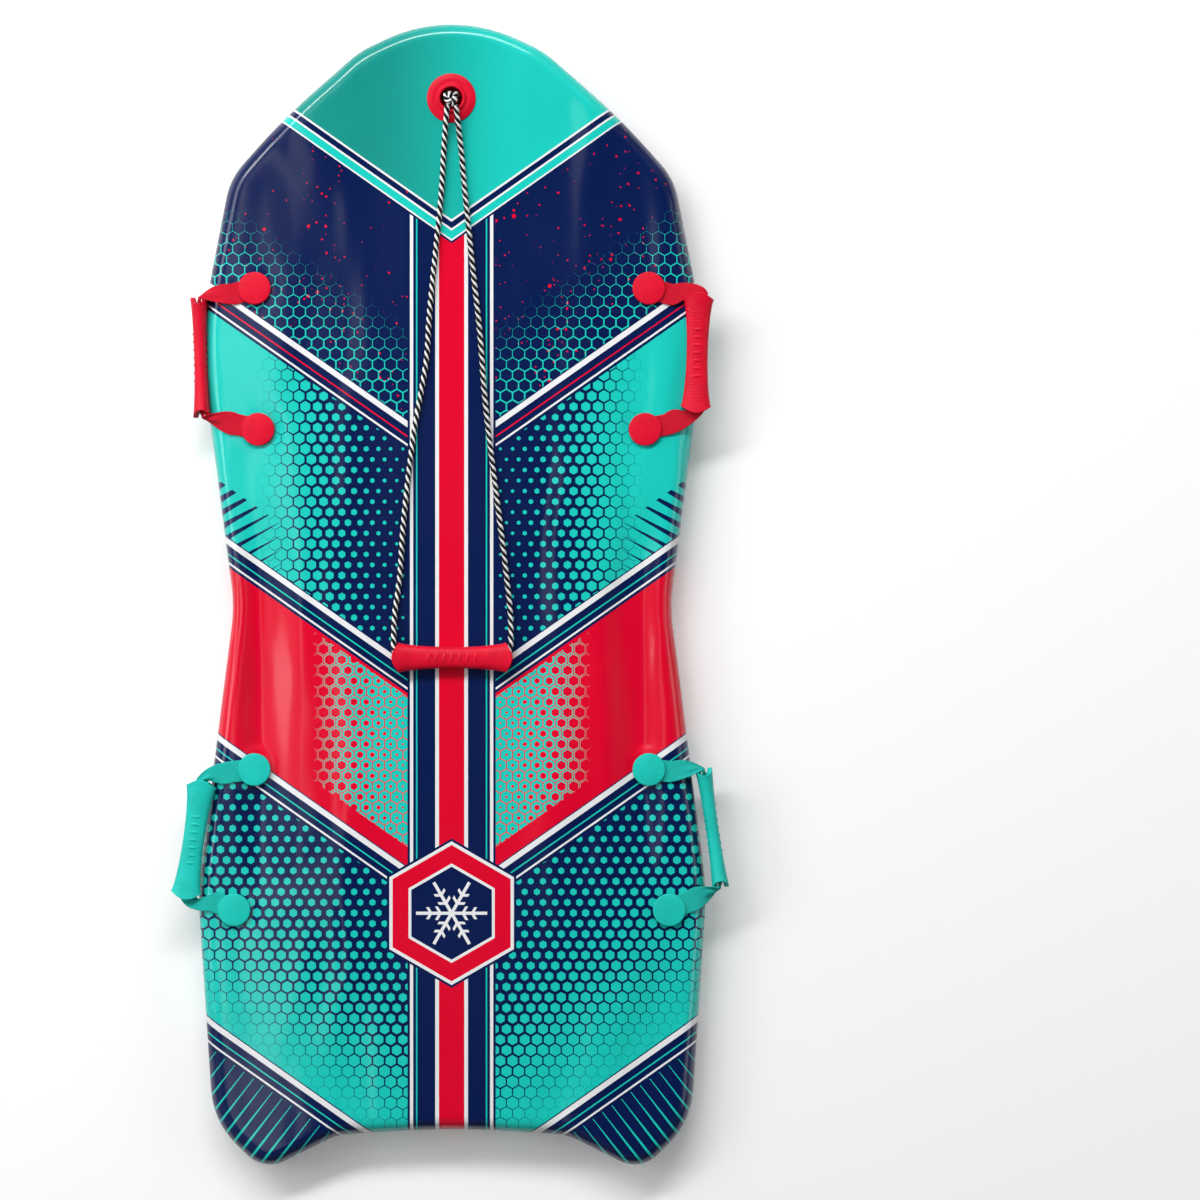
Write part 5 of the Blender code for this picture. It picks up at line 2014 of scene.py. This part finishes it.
@dataclass
class PullLine:
    """The nose plug, its knots, the pull rope and the pull grip."""

    board: Board
    finishes: Finishes
    flange_radius: float = 0.026
    flange_thick: float = 0.003
    flange_edge: float = 0.0040
    bead_radius: float = 0.0149
    bead_top: float = 0.0052
    bead_slope: float = 0.0012
    barrel_radius: float = 0.0132
    barrel_bore: float = 0.0115
    barrel_length: float = 0.036
    sleeve_radius: float = 0.0111
    sleeve_bore: float = 0.0085
    sleeve_length: float = 0.024
    neck_bore: float = 0.0068
    neck_length: float = 0.006
    knot_radius: float = 0.0095
    knot_half: float = 0.0068
    knot_lift: float = 0.002
    tail_knot_radius: float = 0.0079
    tail_knot_half: float = 0.0055
    knot_steps: int = 150
    knot_overlap: float = 0.0015
    rope_lift: float = 0.0003
    rope_step: float = 0.018
    rope_bend: float = 0.012
    rope_inset: float = 0.0022
    rope_spread: float = 0.055
    rope_climb: float = 0.045
    rope_lead: float = 0.004
    rope_middle: tuple = (-0.035, -0.0175, 0, 0.0175, 0.035)
    over_plug: tuple = ((0.0084, 0.0094), (0.0200, 0.0094), (0.0300, 0.0066))
    start_side: tuple = (-0.0034, 0.0042)
    left_route: tuple = (
        (-0.0080, 0.0550),
        (-0.0106, 0.0992),
        (-0.0161, 0.1547),
        (-0.0234, 0.2284),
        (-0.0273, 0.2828),
        (-0.0401, 0.3565),
        (-0.0508, 0.4483),
        (-0.0551, 0.5102),
        (-0.0605, 0.5500),
    )
    right_route: tuple = (
        (0.0105, 0.0550),
        (0.0143, 0.0992),
        (0.0218, 0.1729),
        (0.0299, 0.2465),
        (0.0357, 0.3202),
        (0.0442, 0.3938),
        (0.0538, 0.4686),
        (0.0612, 0.5310),
        (0.0632, 0.5580),
    )

    def __post_init__(self) -> None:
        """Find the pull grip in the frame."""
        self.grip_centre = middle_of("pull_grip")
        self.grip = GripShape()
        self.rope = RopeShape()
        self.tail_height = -self.board.plug_depth + self.tail_knot_half
        self.bend_reach = self.grip.length / 2 - self.rope_inset

    def plug_place(self, height: float) -> Vector:
        """A place on the plug's axis, up from its seat."""
        seat = Vector((*self.board.plug, self.board.deck_at(*self.board.plug)))
        return seat + self.board.plug_axis * height

    def plug(self) -> None:
        """Both halves of the rope plug."""
        bore, barrel, flange = self.barrel_bore, self.barrel_radius, self.flange_radius
        thick, foot = self.flange_thick, -self.barrel_length
        top = [
            (bore, foot, 0),
            (bore, thick - 0.001, 0.0005),
            (bore + self.bead_slope * 0.6, self.bead_top, 0.0013),
            (self.bead_radius - GAP, self.bead_top, 0.0014),
            (self.bead_radius + self.bead_slope, thick * 0.86, 0.0012),
            (flange - self.flange_edge * 1.4, thick, 0.0030),
            (flange, thick * 0.48, 0.0012),
            (flange, GAP, 0),
            (barrel, GAP, 0),
            (barrel, foot, 0),
        ]
        sleeve, base = self.sleeve_radius, -self.board.plug_depth
        high = base + self.sleeve_length
        neck = high - self.neck_length
        low = [
            (self.neck_bore, high, 0),
            (sleeve, high, 0.0005),
            (sleeve, foot - GAP, 0),
            (barrel, foot - GAP, 0),
            (barrel, base - GAP, 0),
            (flange, base - GAP, 0),
            (flange, base - thick * 0.6, 0.0010),
            (flange - self.flange_edge, base - thick, 0.0014),
            (self.sleeve_bore, base - thick, 0.0010),
            (self.sleeve_bore, neck, 0),
            (self.neck_bore, neck, 0),
        ]
        red, axis = self.finishes.moulding["red"], self.board.plug_axis
        for points, name, node in ((top, "flange", "top"), (low, "socket", "base")):
            profile = rounded_profile(points)
            made = turned(f"rope_plug_{name}", profile, red, self.plug_place(0), axis, True, 96)
            mount(made, f"rope_plug_{node}")

    def twisted(self, draft: Draft, name: str) -> Piece:
        """Close a draft of laid rope."""
        return draft.piece(name, self.finishes.strands, crease=70)

    def knot(self, name: str, height: float, radius: float, half: float, node: str) -> None:
        """A knot of the doubled rope, as one loop that passes through itself.

        Args:
            name: The piece's name.
            height: Its middle, up from the plug's seat.
            radius: Its outer radius.
            half: Half its height.
            node: The frame node that it stands for.
        """
        thin = RopeShape(radius=radius * 0.29, lay=self.rope.lay * 0.9)
        reach = radius - thin.radius
        turn = self.board.plug_axis.to_track_quat("Z", "Y").to_matrix()
        route = []
        for step in range(self.knot_steps):
            angle = math.tau * step / self.knot_steps
            out = reach * (0.60 + 0.40 * math.cos(3 * angle))
            about = 2 * angle + 0.5
            up = (half - thin.radius) * math.sin(3 * angle)
            spot = Vector((out * math.cos(about), out * math.sin(about), up))
            route.append(self.plug_place(height) + turn @ spot)
        draft = Draft()
        thin.add(draft, route, closed=True)
        mount(self.twisted(draft, name), node)

    def doubled(self) -> None:
        """The two strands between the knots, through the plug."""
        top = self.knot_lift - self.knot_half + self.knot_overlap
        foot = self.tail_height + self.tail_knot_half - self.knot_overlap
        count = round((top - foot) / self.rope.step)
        route = [self.plug_place(top + (foot - top) * step / count) for step in range(count + 1)]
        draft = Draft()
        thin = RopeShape(radius=self.rope.radius * 0.96)
        for side in (-1, 1):
            aside = Vector((side * self.rope.radius, 0, 0))
            thin.add(draft, [spot + aside for spot in route])
        mount(self.twisted(draft, "rope_through_plug"), "rope_doubled")

    def strand(self, start: float, sides: Sequence[Spot], hand: int) -> Row:
        """Route of one strand, from the knot to its bend into the pull grip.

        Args:
            start: Where it leaves the knot.
            sides: Places across, and back from the plug.
            hand: -1 on the left, 1 on the right.

        Returns:
            Points along it.
        """
        grip, board = self.grip_centre, self.board
        points = []
        for back, lift in self.over_plug:
            y = board.plug.y - back
            x = start + (sides[0][0] - start) * back / self.rope_spread
            points.append(Vector((x, y, board.deck_at(x, y) + lift)))
        bend_x = grip.x + hand * self.bend_reach
        bend_y = grip.y + self.rope_bend
        for x, back in sides:
            y = board.plug.y - back
            climb = ease((bend_y + self.rope_climb - y) / self.rope_climb)
            resting = board.deck_at(x, y) + self.rope.radius + self.rope_lift
            points.append(Vector((x, y, resting + (grip.z - resting) * climb)))
        points.append(Vector((bend_x, bend_y + self.rope_lead, grip.z)))
        return evenly(points, self.rope_step)

    def route(self) -> Row:
        """The rope's whole route: down, through the pull grip, and back.

        Returns:
            Points along it.
        """
        left = self.strand(self.start_side[0], self.left_route, -1)
        right = self.strand(self.start_side[1], self.right_route, 1)
        bends = []
        for hand in (-1, 1):
            aside = hand * (self.bend_reach - self.rope_bend)
            centre = self.grip_centre + Vector((aside, self.rope_bend, 0))
            turns = [math.pi / 2 * step / 4 for step in range(5)]
            arms = [Vector((hand * math.cos(turn), -math.sin(turn), 0)) for turn in turns]
            bends.append([centre + arm * self.rope_bend for arm in arms])
        middle = [self.grip_centre + Vector((x, 0, 0)) for x in self.rope_middle]
        return left + bends[0] + middle + bends[1][::-1] + right[::-1]

    def pull_rope(self) -> None:
        """The free rope, laid along its route as one unbroken cord."""
        path = evenly(self.route(), self.rope.step)
        draft = Draft()
        self.rope.add(draft, path)
        made = self.twisted(draft, "twisted_pull_rope")
        mount(made, "pull_rope", Body.PULL_LINE.value)
        length = sum((b - a).length for a, b in zip(path, path[1:]))
        self.plug_place(self.knot_lift)
        2 * self.rope.radius

    def build(self) -> None:
        """Build and dress the plug, the knots, the rope and its grip."""
        self.plug()
        self.knot("nose_knot", self.knot_lift, self.knot_radius, self.knot_half, "rope_knot_top")
        size = self.tail_knot_radius, self.tail_knot_half
        self.knot("tail_knot", self.tail_height, *size, "rope_knot_below")
        self.doubled()
        self.pull_rope()
        axes = (Vector((1, 0, 0)), Vector((0, 1, 0)), Vector((0, 0, 1)))
        grip = self.grip.build("pull_moulded_grip", self.grip_centre, axes, self.finishes.moulding["red"])
        mount(grip, "pull_grip", Body.PULL_LINE.value)


def through(points: Row, share: float) -> Vector:
    """A point of the smooth curve through a list of points, at a share of their count.

    Args:
        points: Places along the curve.
        share: 0 at the first, 1 at the last.

    Returns:
        The point.
    """
    place_at = share * (len(points) - 1)
    index = min(int(place_at), len(points) - 2)
    part = place_at - index
    a = points[max(index - 1, 0)]
    b, c = points[index], points[index + 1]
    d = points[min(index + 2, len(points) - 1)]
    bend = (b * 3 - a - c * 3 + d) * part**3 + (a * 2 - b * 5 + c * 4 - d) * part**2
    return (bend + (c - a) * part + b * 2) / 2


def evenly(points: Row, step: float) -> Row:
    """Points at equal steps along the smooth curve through a list of points, long or short.

    Args:
        points: Places along the curve, few or many.
        step: Distance between the new points.

    Returns:
        The new points.
    """
    shares = 12 * (len(points) - 1) if len(points) > 40 else 600
    fine = [through(points, share / shares) for share in range(shares + 1)]
    runs = [0.0]
    for before, after in zip(fine, fine[1:]):
        runs.append(runs[-1] + (after - before).length)
    count = round(runs[-1] / step)
    spaced, index = [], 0
    for number in range(count + 1):
        wanted = runs[-1] * number / count
        while index < len(fine) - 2 and runs[index + 1] < wanted:
            index += 1
        part = (wanted - runs[index]) / (runs[index + 1] - runs[index])
        spaced.append(fine[index].lerp(fine[index + 1], part))
    return spaced


@dataclass(frozen=True)
class Lamp:
    """A soft rectangular lamp, aimed at the middle of the floor."""

    name: str
    place: Place
    size: Spot
    watts: float

    def hang(self) -> None:
        """Put it in the scene. Its size is its level width and its depth."""
        data = bpy.data.lights.new(self.name, "AREA")
        data.shape = "RECTANGLE"
        data.size, data.size_y = self.size
        data.energy = self.watts
        made = bpy.data.objects.new(self.name, data)
        made.location = self.place
        made.rotation_euler = (-Vector(self.place)).to_track_quat("-Z", "Y").to_euler()
        made.visible_camera = False
        bpy.context.scene.collection.objects.link(made)


@dataclass
class Studio:
    """White floor, soft lamps and the camera straight above."""

    eye: Place = (0.1584, -0.0037, 4.853)
    lens: float = 135.0
    sensor: float = 36.0
    floor_level: float = -0.0006
    floor_half: float = 30.0
    floor_tones: Spot = (0.30, 0.94)
    floor_glow: Spot = (0.15, 1.0)
    glow_reach: Spot = (0.95, 2.6)
    sky_level: float = 0.24
    overhead: float = 0.02
    lamps: tuple[Lamp, ...] = (
        Lamp("key", (-0.7, 2.25, 2.6), (3.8, 0.5), 108.0),
        Lamp("left_side", (-1.7, 0.3, 1.25), (1.8, 0.6), 13.0),
        Lamp("right_side", (3.0, -0.2, 1.5), (2.4, 1.2), 15.0),
        Lamp("flank_strip", (-0.85, 0.0, 3.0), (2.4, 0.50), 5.5),
    )

    def camera(self) -> None:
        """The camera, looking straight down with the nose at the top of the picture."""
        data = bpy.data.cameras.new("camera")
        data.lens, data.sensor_width = self.lens, self.sensor
        data.clip_start, data.clip_end = 0.1, 100.0
        eye = bpy.data.objects.new("camera", data)
        eye.location = self.eye
        bpy.context.scene.collection.objects.link(eye)
        bpy.context.scene.camera = eye

    def floor(self) -> None:
        """A white floor that keeps the sled's shadow."""
        draft = Draft()
        corners = ((-1, -1), (1, -1), (1, 1), (-1, 1))
        half = self.floor_half
        draft.face(draft.ring([Vector((x * half, y * half, self.floor_level)) for x, y in corners]))
        surface = Surface("floor")
        tree = surface.tree
        tree.nodes.remove(surface.shader)
        seen = tree.nodes.new("ShaderNodeLightPath")
        looked_at = Field(tree, seen.outputs["Is Camera Ray"])
        for kind in ("Is Glossy Ray", "Is Transmission Ray"):
            looked_at = looked_at.larger(Field(tree, seen.outputs[kind]))
        x, y, _ = surface.split("Object", 1.0)
        glow_level = x.hypot(y).ramp(*self.glow_reach, *self.floor_glow)
        matt = tree.nodes.new("ShaderNodeBsdfDiffuse")
        dark, light = self.floor_tones
        wire(surface.coat((dark,) * 3, (light,) * 3, looked_at), matt.inputs["Color"])
        glow = tree.nodes.new("ShaderNodeEmission")
        wire((looked_at * glow_level).socket, glow.inputs["Strength"])
        both = tree.nodes.new("ShaderNodeAddShader")
        wire(matt.outputs[0], both.inputs[0])
        wire(glow.outputs[0], both.inputs[1])
        wire(both.outputs[0], tree.nodes["Material Output"].inputs["Surface"])
        draft.piece("floor", [surface.material])

    def world(self) -> None:
        """A sky that is dark overhead and brighter towards the nose, and white to the camera."""
        world = bpy.data.worlds.new("studio")
        world.use_nodes = True
        bpy.context.scene.world = world
        tree = world.node_tree
        back = tree.nodes["Background"]
        places = tree.nodes.new("ShaderNodeTexCoord")
        node = tree.nodes.new("ShaderNodeSeparateXYZ")
        wire(places.outputs["Generated"], node.inputs[0])
        x, y, z = (Field(tree, socket) for socket in node.outputs)
        toward = (y * 0.75 - x * 0.50).ramp(-0.9, 0.9, 0.35, 1.65)
        sky = z.ramp(0.80, 0.94, self.sky_level, self.overhead) * toward
        seen = tree.nodes.new("ShaderNodeLightPath")
        looked_at = Field(tree, seen.outputs["Is Camera Ray"])
        strength = sky * (1.0 - looked_at) + looked_at
        wire(strength.socket, back.inputs["Strength"])
        back.inputs["Color"].default_value = (1, 1, 1, 1)

    def build(self) -> None:
        """Set up the whole studio."""
        self.camera()
        self.floor()
        self.world()
        for lamp in self.lamps:
            lamp.hang()
        bpy.context.scene.view_settings.view_transform = "Standard"


HANDLES = {
    "front_left": Lie.EDGE,
    "front_right": Lie.FLAT,
    "rear_left": Lie.FLAT,
    "rear_right": Lie.EDGE,
}


EDGE_FORE = StrapLay(
    endward=((7.0, 40.0, 1.7), (6.5, -6.5, 3.0), (-1.0, 1.0, -7.0)),
    inward=((-16.0, 38.0, 3.2), (-5.0, -11.0, 13.0), (-2.0, -2.0, 11.5)),
)
EDGE_AFT = StrapLay(
    endward=((6.0, 36.0, 1.7), (5.0, -9.0, 4.0), (-0.5, -0.5, -7.0)),
    inward=((-24.0, 32.0, 3.2), (-4.0, -11.0, 13.0), (-1.5, -2.0, 11.5)),
)
LAYS = {
    "front_left_fore": EDGE_FORE,
    "front_left_aft": EDGE_AFT,
    "rear_right_fore": EDGE_FORE,
    "rear_right_aft": EDGE_AFT,
    "front_right_fore": StrapLay(
        endward=((9.5, 42.0, 1.7), (8.0, 8.0, 0.0), (-2.0, 10.0, 0.0)),
        inward=((-20.0, 30.0, 1.7), (-8.0, -15.0, 0.0), (-1.5, -8.0, 0.0)),
    ),
    "front_right_aft": StrapLay(
        endward=((3.0, 37.0, 1.7), (9.0, 0.0, 0.0), (-2.5, 8.5, 0.0)),
        inward=((-24.0, 27.0, 1.7), (-5.0, -19.0, 0.0), (-3.0, -12.0, 0.0)),
    ),
    "rear_left_fore": StrapLay(
        endward=((2.2, 39.0, 1.7), (12.0, 1.0, 0.0), (-1.5, 6.5, 0.0)),
        inward=((-22.0, 29.0, 1.7), (-2.0, -17.5, 0.0), (-0.6, -6.8, 0.0)),
    ),
    "rear_left_aft": StrapLay(
        endward=((7.0, 36.0, 1.7), (10.0, -1.0, 0.0), (-1.5, 5.0, 0.0)),
        inward=((-15.0, 24.0, 1.7), (-8.0, -24.0, 0.0), (-3.5, -13.0, 0.0)),
    ),
}


def main() -> None:
    """Build the sled's looks round its frame and set up the studio."""
    logging.basicConfig(level=logging.INFO, format="%(name)s: %(message)s")
    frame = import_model()
    Studio().build()
    board = Board()
    finishes = Finishes.make(board.flute)
    PullLine(board, finishes).build()
    board.build(frame, finishes)
    for name, lie in HANDLES.items():
        SideHandle(name, lie, board, finishes).build()


if __name__ == "__main__":
    main()
